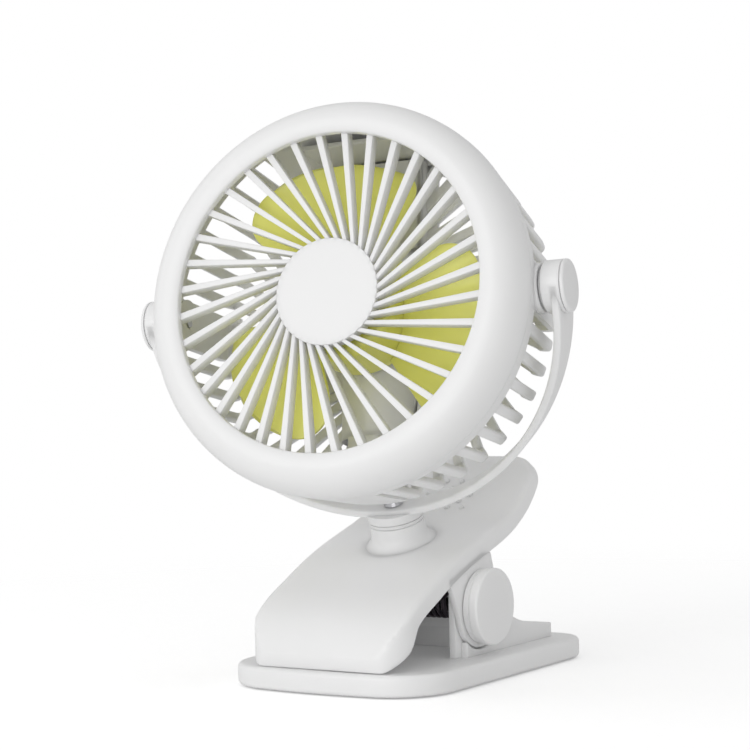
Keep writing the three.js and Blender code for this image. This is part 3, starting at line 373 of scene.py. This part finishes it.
in_head = standing(head_x, head_y, head_z, pivot)
PIVOT_DEPTH = 23.8  # depths are measured from the plane of the opening


def at(depth):
    return depth - PIVOT_DEPTH


ring = [(OPENING, LIP), (OPENING, 0.2)]
ring += bow(CROWN, 0, CROWN - OPENING, 1.55, 180, 270, 9)
ring += bow(CROWN, SEAM, 8.9, 13.3, 270, 360, 26)[1:]
ring += [(66.3, SEAM)]
ring += bow(CROWN, SEAM, 6.7, 11.1, 360, 275, 9)[1:]
ring += [(57.2, LIP), (OPENING, LIP)]
bezel = turned("bezel", [(r, at(d)) for r, d in ring], "y", 160)
disc = turned("disc", [(r, at(d)) for r, d in [
    (0, DISC_FACE), (DISC - 0.15, DISC_FACE), (DISC, DISC_FACE + 0.15), (DISC, 5.9),
    (16.4, 5.9), (16.4, 3.6), (0, 3.6),
]], "y", 96)
near = math.sqrt((DISC - 0.7) ** 2 - OFFSET ** 2)
far = math.sqrt((OPENING + 3) ** 2 - OFFSET ** 2)
spoke = slab("spoke", [
    (near, -OFFSET - THIN / 2), (far, -OFFSET - WIDE / 2),
    (far, -OFFSET + WIDE / 2), (near, -OFFSET + THIN / 2),
], "y", at(FACE), at(REAR))
spoke.data.transform(Matrix.Rotation(math.radians(180 / SPOKES), 4, "Y"))
soften(spoke, 0.18, 2)
round_copies(spoke, "y", SPOKES, 360 / SPOKES)
grille = joined("grille", [bezel, disc, spoke])
fitted(grille, in_head, white_plastic, "white_plastic", "head", "front_grille", smooth=30)

# ---------------------------------------------------------------- rear housing
# The white back half of the head: a plain band behind the seam, ribs that run
# back round the corner, swept bars across the rear, and the tray for the cell.
HOUSING_FRONT, BAND_REAR, CORNER_DEPTH, HOUSING_REAR = 12.05, 19.5, 47, 52.2
FRONT_RADIUS, REAR_RADIUS, WALL_RADIUS, PLATE_RADIUS = 68.3, 65, 60, 29.5
RIBS, RIB_WIDTH, RIB_DEPTH, BAR_WIDTH, BAR_OFFSET = 44, 3.7, 2.9, 3.2, 17.5


def side_radius(depth):
    share = (depth - HOUSING_FRONT) / (CORNER_DEPTH - HOUSING_FRONT)
    return FRONT_RADIUS + (REAR_RADIUS - FRONT_RADIUS) * share


def wall_section(thickness, steps, end=57):
    outer = [(side_radius(18.5), 18.5)] + bow(60, 47.2, 5, 5, 0, 90, steps) + [(end, 52.2)]
    inner = bow(60, 47.2, 5 - thickness, 5 - thickness, 90, 0, max(steps // 2, 2))
    return outer + [(end, 52.2 - thickness)] + inner + [(side_radius(18.5) - thickness, 18.5)]


band_section = [
    (65.1, 8.6), (65.1, 12.05), (67.9, 12.05), (68.3, 12.4), (side_radius(19.0), 19.0),
    (side_radius(BAND_REAR) - 0.5, BAND_REAR), (64.2, BAND_REAR), (64.2, 8.6), (65.1, 8.6),
]
band = turned("band", [(r, at(d)) for r, d in band_section], "y", 176)
rib = slab("rib", [(r, at(d)) for r, d in wall_section(RIB_DEPTH, 6, end=59)],
           "z", -RIB_WIDTH / 2, RIB_WIDTH / 2)
soften(rib, 1.0, 3, 40)
PITCH = 360 / RIBS
sectors = [(-7.4, 7.4), (59, 121), (172.6, 187.4), (261, 279)]


def clear_of_sectors(angle):
    for start, stop in sectors:
        if (angle - start + 2 + 360) % 360 < stop - start + 4:
            return False
    return True


def copies_at(piece, angles):
    """Copies of the piece turned about the head's axis, one to each angle; the piece itself is dropped."""
    made = []
    for index, angle in enumerate(angles):
        copy = piece.copy()
        copy.data = piece.data.copy()
        copy.name = f"{piece.name}_{index}"
        scene.collection.objects.link(copy)
        copy.data.transform(Matrix.Rotation(math.radians(-angle), 4, "Y"))
        made.append(copy)
    bpy.data.objects.remove(piece)
    return made


places = [(i + 0.5) * PITCH for i in range(RIBS)]
parts = [band]
parts += copies_at(rib, [angle for angle in places if clear_of_sectors(angle)])
reach_out = math.sqrt(WALL_RADIUS ** 2 - BAR_OFFSET ** 2)
reach_in = math.sqrt((PLATE_RADIUS - 1) ** 2 - BAR_OFFSET ** 2)
bar_low, bar_high = BAR_OFFSET - BAR_WIDTH / 2, BAR_OFFSET + BAR_WIDTH / 2
bar = slab("bar", [(reach_in, bar_low), (reach_out, bar_low), (reach_out, bar_high), (reach_in, bar_high)],
           "y", at(HOUSING_REAR - RIB_DEPTH), at(HOUSING_REAR))
bar.data.transform(Matrix.Rotation(math.asin(BAR_OFFSET / WALL_RADIUS), 4, "Y"))
soften(bar, 0.4, 2)
parts += copies_at(bar, places)
for number, (start, stop) in enumerate(sectors):
    wall = wall_section(2.2, 6) + [(side_radius(18.5), 18.5)]
    sector = turned(f"sector_{number}", [(r, at(d)) for r, d in wall],
                    "y", max(4, round((stop - start) / 2)), stop - start)
    bpy.ops.object.mode_set(mode="EDIT")
    bpy.ops.mesh.select_all(action="DESELECT")
    bpy.ops.mesh.select_non_manifold()
    bpy.ops.mesh.edge_face_add()
    bpy.ops.mesh.select_all(action="SELECT")
    bpy.ops.mesh.normals_make_consistent(inside=False)
    bpy.ops.object.mode_set(mode="OBJECT")
    across = sum(vertex.co.x for vertex in sector.data.vertices)
    upward = sum(vertex.co.z for vertex in sector.data.vertices)
    middle = math.degrees(math.atan2(upward, across))
    sector.data.transform(Matrix.Rotation(math.radians(middle - (start + stop) / 2), 4, "Y"))
    parts.append(sector)
parts.append(turned("rear_plate", [(r, at(d)) for r, d in [
    (0, 50), (29.5, 50), (29.5, 51.8), (29.1, 52.2), (0, 52.2)]], "y", 88))


def block(name, x0, x1, y0, y1, z0, z1, edge=0.4):
    piece = slab(name, [(x0, z0), (x1, z0), (x1, z1), (x0, z1)], "y", y0, y1)
    soften(piece, edge, 2)
    return piece


parts.append(block("panel", -20.9, 20.9, at(50), at(52.15), 0, 57))
parts.append(block("top_wall", -20.9, 20.9, at(24), at(51.2), 58.6, 60.5))
parts.append(block("foot_wall", -5.5, 5.5, at(33), at(51.2), -60.5, -43.2))
casing_outline = [(12.4, at(52.1))] + bow(0, at(46), 12.4, 12.4, 360, 180, 24) + [(-12.4, at(52.1))]
casing_outline += [(-10.2, at(52.1))] + bow(0, at(46), 10.2, 10.2, 180, 360, 20) + [(10.2, at(52.1))]
parts.append(slab("casing", casing_outline, "z", -43.5, 26.1))
for z0, z1 in ((-43.5, -41.7), (24.3, 26.1)):
    parts.append(slab("casing_end", [(12.3, at(52.1))] + bow(0, at(46), 12.3, 12.3, 360, 180, 24)
                      + [(-12.3, at(52.1))], "z", z0, z1))
parts.append(block("control_front", -17, 17, at(44), at(45.8), 25.2, 57.8))
parts.append(block("control_left", -17, -15.2, at(44), at(52.2), 25.2, 57.8))
parts.append(block("control_right", 15.2, 17, at(44), at(52.2), 25.2, 57.8))
parts.append(turned("motor_seat", [(r, at(d)) for r, d in [
    (0, 33.8), (11.1, 33.8), (11.5, 34.2), (11.5, 40), (0, 40)]], "y", 64))
for side in (-1, 1):
    boss = turned("pivot_boss", [
        (1.9, 63.5), (8.4, 63.5), (8.4, 68.6), (8.1, 68.9), (1.9, 68.9), (1.9, 63.5)], "x", 64)
    if side < 0:
        boss.data.transform(Matrix.Rotation(math.pi, 4, "Y"))
    parts.append(boss)
housing = joined("housing", parts)
fitted(housing, in_head, white_plastic, "white_plastic", "head", "rear_housing", smooth=30)

# ---------------------------------------------------------------- rotor
# Hub and three broad twisted blades, moulded in one from pale yellow plastic
# and pressed on the shaft of the motor.
HUB, TIP, BLADES, SWEEP, BLADE_WALL = 22.3, 50, 3, 71, 1.3
blade_yellow = finish("blade_yellow", (0.95, 0.94, 0.24), 0.3, uneven=0.05, bump=0.03, milky=0.5)
hub = turned("hub", [(r, at(d)) for r, d in
             [(0, 8.2)] + bow(19.8, 10.7, 2.5, 2.5, 270, 360, 8)
             + [(HUB, 31.7), (22.0, 32), (20.8, 32), (20.5, 31.7), (20.5, 11), (19.5, 10)]
             + [(4.2, 10), (4.2, 12.7), (0, 12.7)]], "y", 96)


def blade_edges(radius):
    inner = min(max((radius - HUB) / 13, 0), 1)
    round_front = min(max((radius - 37) / 13, 0), 1)
    round_rear = min(max((radius - 43) / 7, 0), 1)
    lead = 134 + 9.5 * math.sin(math.pi / 2 * inner) - 18 * (1 - math.sqrt(1 - round_front ** 2))
    trail = 134 - SWEEP + 9 * (1 - math.sqrt(1 - round_rear ** 2))
    return lead, trail


def blade_point(out, chord):
    """A point of the blade's middle surface: out from hub to tip, chord from leading to trailing edge."""
    radius = 21.2 + (TIP - 21.2) * math.sin(math.pi / 2 * out)
    lead, trail = blade_edges(radius)
    angle = math.radians(lead + (trail - lead) * chord)
    past = (radius - HUB) / (TIP - HUB)
    front = 12 + (15.5 - 12) * past
    rear = 29.5 + (31.5 - 29.5) * past
    depth = front + (rear - front) * chord ** (1.25 + (2.2 - 1.25) * past)
    return Vector((radius * math.cos(angle), at(depth), radius * math.sin(angle))) * MM


COLUMNS, ROWS = 36, 26
bpy.ops.object.select_all(action="DESELECT")
bpy.ops.mesh.primitive_grid_add(x_subdivisions=COLUMNS, y_subdivisions=ROWS, size=1, location=(0, 0, 0))
blade = bpy.context.object
blade.name = "blade"
for vertex in blade.data.vertices:
    vertex.co = blade_point(min(max(vertex.co.y + 0.5, 0), 1), min(max(vertex.co.x + 0.5, 0), 1))
apply_modifier(blade, "SOLIDIFY", thickness=BLADE_WALL * MM, offset=0)
soften(blade, 0.45, 3, 60)
round_copies(blade, "y", BLADES, 360 / BLADES)
rotor = joined("rotor", [hub, blade])
bpy.ops.object.mode_set(mode="EDIT")
bpy.ops.mesh.select_all(action="SELECT")
bpy.ops.mesh.normals_make_consistent(inside=False)
bpy.ops.object.mode_set(mode="OBJECT")
fitted(rotor, in_head, blade_yellow, "blade_yellow", "rotor", "fan_rotor", smooth=40)

# ---------------------------------------------------------------- yoke and its caps
# A white U-shaped strip that carries the head between two round ends, wide at
# the pivots and narrow below, on a round collar that turns on the neck.
STRIP_RADIUS, STRIP_WALL, PIVOT_RADIUS = 74.45, 2.7, 8.9
swivel = Vector(joints["yoke_swivel"]["axis"]).normalized()
in_yoke = standing(head_x, swivel.cross(head_x), swivel, pivot)
neck_top = Vector(joints["yoke_swivel"]["pos_m"])
in_neck = standing(head_x, swivel.cross(head_x), swivel, neck_top)


def strip_half_width(height):
    """The strip narrows below the pivots along the same easy curve on both edges."""
    if height > 0:
        return math.sqrt(max(PIVOT_RADIUS ** 2 - height ** 2, 0.01))
    drop = min(-height / 50, 1)
    low, high = 0.0, 1.0
    for _ in range(24):
        middle = (low + high) / 2
        rest = 1 - middle
        fall = (3 * rest ** 2 * middle * 16 + 3 * rest * middle ** 2 * 30 + middle ** 3 * 50) / 50
        low, high = (middle, high) if fall < drop else (low, middle)
    u = (low + high) / 2
    return PIVOT_RADIUS * ((1 - u) ** 3 + 3 * (1 - u) ** 2 * u) + 6 * (3 * (1 - u) * u ** 2 + u ** 3)


LENGTHWISE, CROSSWISE = 120, 6
bpy.ops.object.select_all(action="DESELECT")
bpy.ops.mesh.primitive_grid_add(x_subdivisions=LENGTHWISE, y_subdivisions=CROSSWISE, size=1,
                                location=(0, 0, 0))
strip = bpy.context.object
strip.name = "strip"
for vertex in strip.data.vertices:
    run = math.radians(2 + (vertex.co.x + 0.5) * -184)
    height = STRIP_RADIUS * math.sin(run)
    across = vertex.co.y * 2 * strip_half_width(height)
    vertex.co = Vector((STRIP_RADIUS * math.cos(run), across, height)) * MM
apply_modifier(strip, "SOLIDIFY", thickness=STRIP_WALL * MM, offset=0)
soften(strip, 0.7, 3, 50)
bpy.ops.object.mode_set(mode="EDIT")
bpy.ops.mesh.select_all(action="SELECT")
bpy.ops.mesh.normals_make_consistent(inside=False)
bpy.ops.object.mode_set(mode="OBJECT")
pieces = [strip]
for side in (-1, 1):
    end = turned("yoke_end", [(1.9, 70.1), (8.3, 70.1), (8.75, 70.35), (8.9, 70.9), (8.9, 76.5), (8.7, 76.7),
                              (5.6, 76.7), (5.6, 72.5), (1.9, 72.5), (1.9, 70.1)], "x", 80)
    if side < 0:
        end.data.transform(Matrix.Rotation(math.pi, 4, "Y"))
    pieces.append(end)
collar_low = 1.4 - 79.15
collar = turned("collar", [(1.8, collar_low), (9.5, collar_low), (9.9, collar_low + 0.4), (9.9, -74.6),
                           (1.8, -74.6), (1.8, collar_low)], "z", 80)
pieces.append(collar)
yoke = joined("yoke_frame", pieces)
fitted(yoke, in_yoke, white_plastic, "white_plastic", "yoke", "yoke", smooth=30)
for side, hand in ((-1, "left"), (1, "right")):
    cap = turned(f"tilt_cap_{hand}", [(0, 75.4), (5.3, 75.4), (5.3, 77), (8.9, 77), (8.9, 77.5)]
                 + bow(8.2, 77.5, 0.7, 0.7, 0, 90, 5)[1:] + [(0, 78.2)], "x", 80)
    if side < 0:
        cap.data.transform(Matrix.Rotation(math.pi, 4, "Y"))
    fitted(cap, in_yoke, white_plastic, "white_plastic", "yoke", f"pivot_cap_{hand}", smooth=30)

# ---------------------------------------------------------------- clip lever
# The white S-shaped lever: jaw lip in front, cheeks round the pin, the neck
# that carries the yoke, and a handle behind with small round grip bumps.
upper_line = [(-56.8, 12.4), (-53.9, 19), (-48.9, 25), (-41.4, 30.3), (-31.8, 35), (-20.9, 40.2),
              (-9.9, 44.5), (1.2, 48.1), (12.6, 51.6), (21.6, 55.2), (30.5, 60.8), (36.8, 67.4), (41.2, 75)]
PLATE = 6.6
SKIN = 2.6
RIM = 2.2
LEVER_LENGTH = 125


def spline(points, t):
    """A point and the direction of a smooth curve through the points."""
    run = (len(points) - 1) * min(max(t, 0), 1)
    i = min(int(run), len(points) - 2)
    w = run - i
    p0, p1, p2, p3 = (Vector(points[min(max(k, 0), len(points) - 1)]) for k in (i - 1, i, i + 1, i + 2))
    v0, v1 = (p2 - p0) / 2, (p3 - p1) / 2
    a, b = 2 * p1 - 2 * p2 + v0 + v1, -3 * p1 + 3 * p2 - 2 * v0 - v1
    return a * w ** 3 + b * w ** 2 + v0 * w + p1, (3 * a * w ** 2 + 2 * b * w + v0).normalized()


def below(t, depth):
    point, along = spline(upper_line, t)
    return Vector((point.x + along.y * depth, point.y - along.x * depth))


def evenly(points, fraction):
    """The point a given share of the way along a line of points."""
    lengths = [(b - a).length for a, b in zip(points, points[1:])]
    left = fraction * sum(lengths)
    for a, b, length in zip(points, points[1:], lengths):
        if left <= length:
            return a.lerp(b, left / length)
        left -= length
    return points[-1].copy()


upper_run = [Vector((-56.4, 8.15))] + [below(i / 160, 0) for i in range(161)]
lip_rear = [(-55.7, 8.15), (-51.6, 11.1), (-47.4, 14.2), (-44.4, 17.9), (-42.0, 21.9), (-38.1, 24.6)]
lower_run = [spline(lip_rear, i / 20)[0] for i in range(21)]
lower_run += [below(0.27 + 0.73 * i / 120, PLATE) for i in range(121)]


HALF_WIDTH = 31
JAW_CORNER = 12
HANDLE_CORNER = 9
JAW_FRONT = -57.4
HANDLE_TOP = 75


def half_width(z):
    """Round corners of the handle seen from the front."""
    past = min(max(z - (HANDLE_TOP - HANDLE_CORNER), 0), HANDLE_CORNER)
    return HALF_WIDTH - HANDLE_CORNER + math.sqrt(HANDLE_CORNER ** 2 - past ** 2)


def behind_corner(x, y, z):
    """Round corners of the jaw seen from above: a point in front of the corner goes back onto it."""
    past = min(max(abs(x) - (HALF_WIDTH - JAW_CORNER), 0), JAW_CORNER)
    front = JAW_FRONT + JAW_CORNER - math.sqrt(JAW_CORNER ** 2 - past ** 2)
    if y >= front:
        return Vector((x, y, z))
    for (y0, z0), (y1, z1) in zip(lip_rear, lip_rear[1:]):
        if y0 <= front <= y1:
            z = max(z, z0 + (z1 - z0) * (front - y0) / (y1 - y0))
    return Vector((x, front, z))


def lever_ring(along):
    """One closed section: flat top with rounded rims, sides, and the hollow underneath."""
    upper, lower = evenly(upper_run, along), evenly(lower_run, along)
    down = (lower - upper).normalized()
    thick = (lower - upper).length
    wide = half_width(upper.y)
    short = max(RIM - (1 - along) * LEVER_LENGTH, 0)
    drop = RIM - math.sqrt(RIM ** 2 - min(short, RIM) ** 2)
    rim = min(RIM, 0.55 * thick)
    foot = min(0.5, 0.3 * thick)
    hollow = min(max((along - 0.25) / 0.02, 0), 1) * min(max((0.955 - along) / 0.02, 0), 1)
    roof = thick + (SKIN - thick) * hollow
    half = [((wide - rim) * i / 24, 0) for i in range(25)]
    half += bow(wide - rim, rim, rim, rim, -75, 0, 5)
    half += bow(wide - foot, thick - foot, foot, foot, 0, 90, 3)
    half += [(wide - SKIN, thick), (wide - SKIN - 0.2, roof), ((wide - SKIN) / 2, roof), (0, roof)]
    ring = half + [(-x, depth) for x, depth in half[-2:0:-1]]
    points = []
    for x, depth in ring:
        x, depth = x * (1 - drop / wide), drop + depth * (1 - drop / thick)
        place = upper + down * depth
        points.append(behind_corner(x, place.x, place.y) * MM)
    return points


AROUND = len(lever_ring(0.5))
ROWS = 132
bpy.ops.object.select_all(action="DESELECT")
bpy.ops.mesh.primitive_grid_add(x_subdivisions=AROUND, y_subdivisions=ROWS, size=1, location=(0, 0, 0))
plate = bpy.context.object
plate.name = "lever_plate"
last = 1 - RIM / LEVER_LENGTH
rings = [lever_ring(last * i / (ROWS - 8)) for i in range(ROWS - 7)]
rings += [lever_ring(last + (1 - last) * math.sin(math.pi / 2 * i / 8)) for i in range(1, 9)]
for vertex in plate.data.vertices:
    row, column = round((vertex.co.y + 0.5) * ROWS), round((vertex.co.x + 0.5) * AROUND)
    vertex.co = rings[row][column % AROUND]
bpy.ops.object.mode_set(mode="EDIT")
bpy.ops.mesh.select_all(action="SELECT")
bpy.ops.mesh.remove_doubles(threshold=1e-6)
bpy.ops.mesh.select_all(action="DESELECT")
bpy.ops.mesh.select_non_manifold()
bpy.ops.mesh.edge_face_add()
bpy.ops.mesh.select_all(action="SELECT")
bpy.ops.mesh.normals_make_consistent(inside=False)
bpy.ops.object.mode_set(mode="OBJECT")
lever_parts = [plate]
PIN_Y, PIN_Z, CHEEK = -1.5, 24.6, 14.3


def bent(start, bend, stop, steps=8):
    """Points after the start on a curve that leaves it towards the bend and ends at the stop."""
    a, b, c = Vector(start), Vector(bend), Vector(stop)
    return [tuple(a.lerp(b, i / steps).lerp(b.lerp(c, i / steps), i / steps)) for i in range(1, steps + 1)]


round_pin = bow(PIN_Y, PIN_Z, CHEEK, CHEEK, 190, 400, 52)
cheek_line = [(-22.5, 35.2)] + bent((-22.5, 35.2), (-18.4, 29.5), round_pin[0]) + round_pin[1:]
cheek_line += [(6.6, 42.6), (0, 43)]
for side in (-1, 1):
    cheek = slab("cheek", cheek_line, "x", side * 28.98, side * 30.98)
    soften(cheek, 0.35, 2, 40)
    lever_parts.append(cheek)
neck_line = [(1.8, -10.5), (15, -10.5), (15, -8.1)] + bow(14.4, -3.4, 4.5, 4.5, 270, 180, 10)
neck_line += [(9.9, -0.25), (9.65, 0), (1.8, 0), (1.8, -10.5)]
neck = turned("neck", neck_line, "z", 96)
neck.data.transform(in_neck)
lever_parts.append(neck)
BUMP, BUMP_STEP = 1.0, 6.2
for row, share in enumerate((0.77, 0.80, 0.83, 0.86, 0.89)):
    count = 4 if row % 2 == 0 else 3
    spot = below(share, 0.1)
    for i in range(count):
        across = (i - (count - 1) / 2) * BUMP_STEP
        bpy.ops.object.select_all(action="DESELECT")
        bpy.ops.mesh.primitive_uv_sphere_add(segments=16, ring_count=10, radius=BUMP * MM,
                                             location=Vector((across, spot.x, spot.y)) * MM)
        bpy.ops.object.transform_apply(location=True, rotation=True, scale=True)
        lever_parts.append(bpy.context.object)
lever = joined("lever_shell", lever_parts)
fitted(lever, None, white_plastic, "white_plastic", "lever", "clip_lever", smooth=30)
washer = turned("neck_washer", [(1.9, 0.12), (9.6, 0.12), (9.75, 0.27), (9.75, 1.13), (9.6, 1.28),
                                (1.9, 1.28), (1.9, 0.12)], "z", 96)
fitted(washer, in_neck, white_plastic, "white_plastic", "lever", "swivel_washer")

# ---------------------------------------------------------------- clip base
# The white base tray with its rounded rim, the raised deck behind the clip,
# two ears inside the cheeks, and the feet that stand under the cheeks.
BASE_HALF_WIDTH, BASE_HALF_LENGTH, BASE_TOP, BASE_LOW = 42, 60.7, 7.8, 0.5
FRONT_CORNER, REAR_CORNER = 22, 14


def base_plan(inset, steps=14):
    side, back, front = BASE_HALF_WIDTH - inset, BASE_HALF_LENGTH - inset, -BASE_HALF_LENGTH + inset
    wide, tight = FRONT_CORNER - inset, REAR_CORNER - inset
    plan = bow(side - wide, front + 1.2 + wide, wide, wide, 270, 360, steps)
    plan += bow(side - tight, back - tight, tight, tight, 0, 90, steps)
    plan += bow(-side + tight, back - tight, tight, tight, 90, 180, steps)
    plan += bow(-side + wide, front + 1.2 + wide, wide, wide, 180, 270, steps)
    for i in range(1, 8):
        u = i / 8
        plan.append(((2 * u - 1) * (side - wide), front + 1.2 - 2.4 * 2 * u * (1 - u)))
    return plan


tray = slab("tray", base_plan(0), "z", BASE_LOW, BASE_TOP)
soften(tray, 1.6, 5, 50)
recess = slab("recess", base_plan(3), "z", -1, 3.2)
apply_modifier(tray, "BOOLEAN", operation="DIFFERENCE", object=recess, solver="EXACT")
bpy.data.objects.remove(recess)
pad_line = []
for x, y, start in ((14.5, -47.2, 270), (14.5, -42.2, 0), (-14.5, -42.2, 90), (-14.5, -47.2, 180)):
    pad_line += bow(x, y, 2.5, 2.5, start, start + 90, 8)
pad_room = slab("pad_room", pad_line, "z", 6.6, 9)
apply_modifier(tray, "BOOLEAN", operation="DIFFERENCE", object=pad_room, solver="EXACT")
bpy.data.objects.remove(pad_room)
around = CHEEK + 0.6


SUNK = 4.8  # the raised parts reach down to here, inside the tray
deck_line = [(PIN_Y + around * math.cos(math.radians(-40)), SUNK)]
deck_line += bow(PIN_Y, PIN_Z, around, around, -40, -9, 10)
deck_line += bent(deck_line[-1], (17.5, 18.9), (21.5, 18.3))
deck_line += bent((21.5, 18.3), (27.5, 15.7), (32.5, 15.3))
deck_line += [(49.75, 12.9), (49.75, SUNK)]
deck = slab("deck", deck_line, "x", -29.5, 29.5)
deck.data.transform(Matrix.Translation(Vector((0, -0.1, -0.1)) * MM))
base_parts = [tray, deck]
EAR_FRONT = -14.9
EAR = 12.6
ear_line = [(EAR_FRONT, SUNK), (15.1, SUNK), (12.1, 13.8)] + bow(PIN_Y, PIN_Z, EAR, EAR, 0, 118, 24)
ear_line += [(EAR_FRONT, 29.6)]
FOOT_FRONT = -11
to_foot = -180 + math.degrees(math.acos((PIN_Y - FOOT_FRONT) / around))
side_line = deck_line[:0:-1] + bow(PIN_Y, PIN_Z, around, around, -40, to_foot, 20)[1:]
side_line += [(FOOT_FRONT, SUNK)]
for side in (-1, 1):
    ear = slab("ear", ear_line, "x", side * 26, side * 28.6)
    soften(ear, 0.4, 2, 40)
    flank = slab("flank", side_line, "x", side * 28.4, side * 31)
    soften(flank, 0.6, 3, 40)
    base_parts += [ear, flank]
base = joined("base_tray", base_parts)
fitted(base, None, white_plastic, "white_plastic", "base", "base_shell", smooth=30)

lid = bpy.data.objects.new("base_lid", frame["nodes"]["base_cover"].data.copy())
scene.collection.objects.link(lid)
bpy.ops.object.select_all(action="DESELECT")
lid.select_set(True)
bpy.context.view_layer.objects.active = lid
bpy.ops.object.mode_set(mode="EDIT")
bpy.ops.mesh.select_all(action="SELECT")
bpy.ops.mesh.remove_doubles(threshold=2e-6)
bpy.ops.mesh.select_all(action="SELECT")
bpy.ops.mesh.dissolve_limited(angle_limit=math.radians(1.5))
bpy.ops.object.mode_set(mode="OBJECT")
fitted(lid, None, white_plastic, "white_plastic", "base", "base_cover", smooth=30)

# ---------------------------------------------------------------- pin caps and spring
# Two large white buttons close the ends of the clip pin, each with a fine
# groove behind its rim; between the ears a dark steel coil works the clip.
spring_steel = finish("spring_steel", (0.05, 0.04, 0.05), 0.35, uneven=0.3, grain=3000, bump=0.1,
                      metallic=0.7)
on_pin = Matrix.Translation(Vector(joints["clip_open"]["pos_m"]))
for side, hand in ((-1, "left"), (1, "right")):
    rim = [(3, 31.35), (12.5, 31.35), (12.8, 31.6), (12.8, 33.2), (12.5, 33.6), (13.0, 33.8), (13.3, 34.2)]
    face = [(13.3, 36.3)] + bow(12.45, 36.3, 0.85, 0.85, 0, 90, 6)[1:] + [(0, 37.15)]
    cap = turned(f"clip_cap_{hand}", rim + face + [(0, 36.05), (3, 36.05), (3, 31.35)], "x", 112)
    if side < 0:
        cap.data.transform(Matrix.Rotation(math.pi, 4, "Y"))
    fitted(cap, on_pin, white_plastic, "white_plastic", "base", f"pin_cap_{hand}", smooth=30)
TURNS, COIL, COIL_END, WIRE = 18, 4.1, 20, 0.85
first_angle = math.radians(118)
last_angle = first_angle + 2 * math.pi * TURNS - math.radians(56)


def on_coil(x, angle, past=0.0):
    """A point of the wire; past runs on from the coil along the leg."""
    y = COIL * math.cos(angle) - past * math.sin(angle)
    z = COIL * math.sin(angle) + past * math.cos(angle)
    return (x, y, z)


route = [on_coil(-COIL_END, first_angle, -past) for past in (15, 13, 8, 3)]
for i in range(24 * TURNS + 1):
    share = i / (24 * TURNS)
    place = -COIL_END + 2 * COIL_END * share
    route.append(on_coil(place, first_angle + (last_angle - first_angle) * share))
route += [on_coil(COIL_END, last_angle, past) for past in (3, 8, 13, 15)]
line = bpy.data.curves.new("clip_spring", "CURVE")
line.dimensions = "3D"
line.bevel_depth = WIRE * MM
line.bevel_resolution = 4
line.use_fill_caps = True
run = line.splines.new("POLY")
run.points.add(len(route) - 1)
for point, place in zip(run.points, route):
    point.co = (*(Vector(place) * MM), 1)
coil = bpy.data.objects.new("clip_spring", line)
scene.collection.objects.link(coil)
bpy.ops.object.select_all(action="DESELECT")
coil.select_set(True)
bpy.context.view_layer.objects.active = coil
bpy.ops.object.convert(target="MESH")
coil = bpy.context.object
fitted(coil, on_pin, spring_steel, "spring_steel", "base", "torsion_spring", smooth=60)

# ---------------------------------------------------------------- finishes of the small parts
# Pads of soft grey rubber, bright screws and shaft, the cell in its film,
# the board, the dark switch and motor can, and the clear lens.
pad_rubber = finish("pad_rubber", (0.56, 0.56, 0.56), 0.85, uneven=0.08, grain=1400, bump=0.2)
screw_steel = finish("screw_steel", (0.6, 0.6, 0.62), 0.28, uneven=0.1, grain=3000, bump=0.05, metallic=1)
cell_wrap = finish("cell_wrap", (0.07, 0.2, 0.42), 0.35, uneven=0.05, grain=900, bump=0.1)
board_green = finish("board_green", (0.03, 0.14, 0.06), 0.45, uneven=0.2, grain=1800, bump=0.1)
black_plastic = finish("black_plastic", (0.015, 0.015, 0.017), 0.5, uneven=0.1, grain=2200, bump=0.1)
lens_clear = finish("lens_clear", (0.85, 0.92, 1.0), 0.08, uneven=0.02, grain=900, bump=0.02, coat=0.5)
lens_clear.node_tree.nodes["Principled BSDF"].inputs["Transmission Weight"].default_value = 0.85
finishes = {
    "white_plastic": white_plastic, "blade_yellow": blade_yellow, "pad_rubber": pad_rubber,
    "screw_steel": screw_steel, "spring_steel": spring_steel, "cell_wrap": cell_wrap,
    "board_green": board_green, "black_plastic": black_plastic, "lens_clear": lens_clear,
}
for row in frame["record"]["subparts"]:
    node = frame["nodes"][row["node"]]
    node.data.materials.clear()
    node.data.materials.append(finishes[row["material_slot"]])
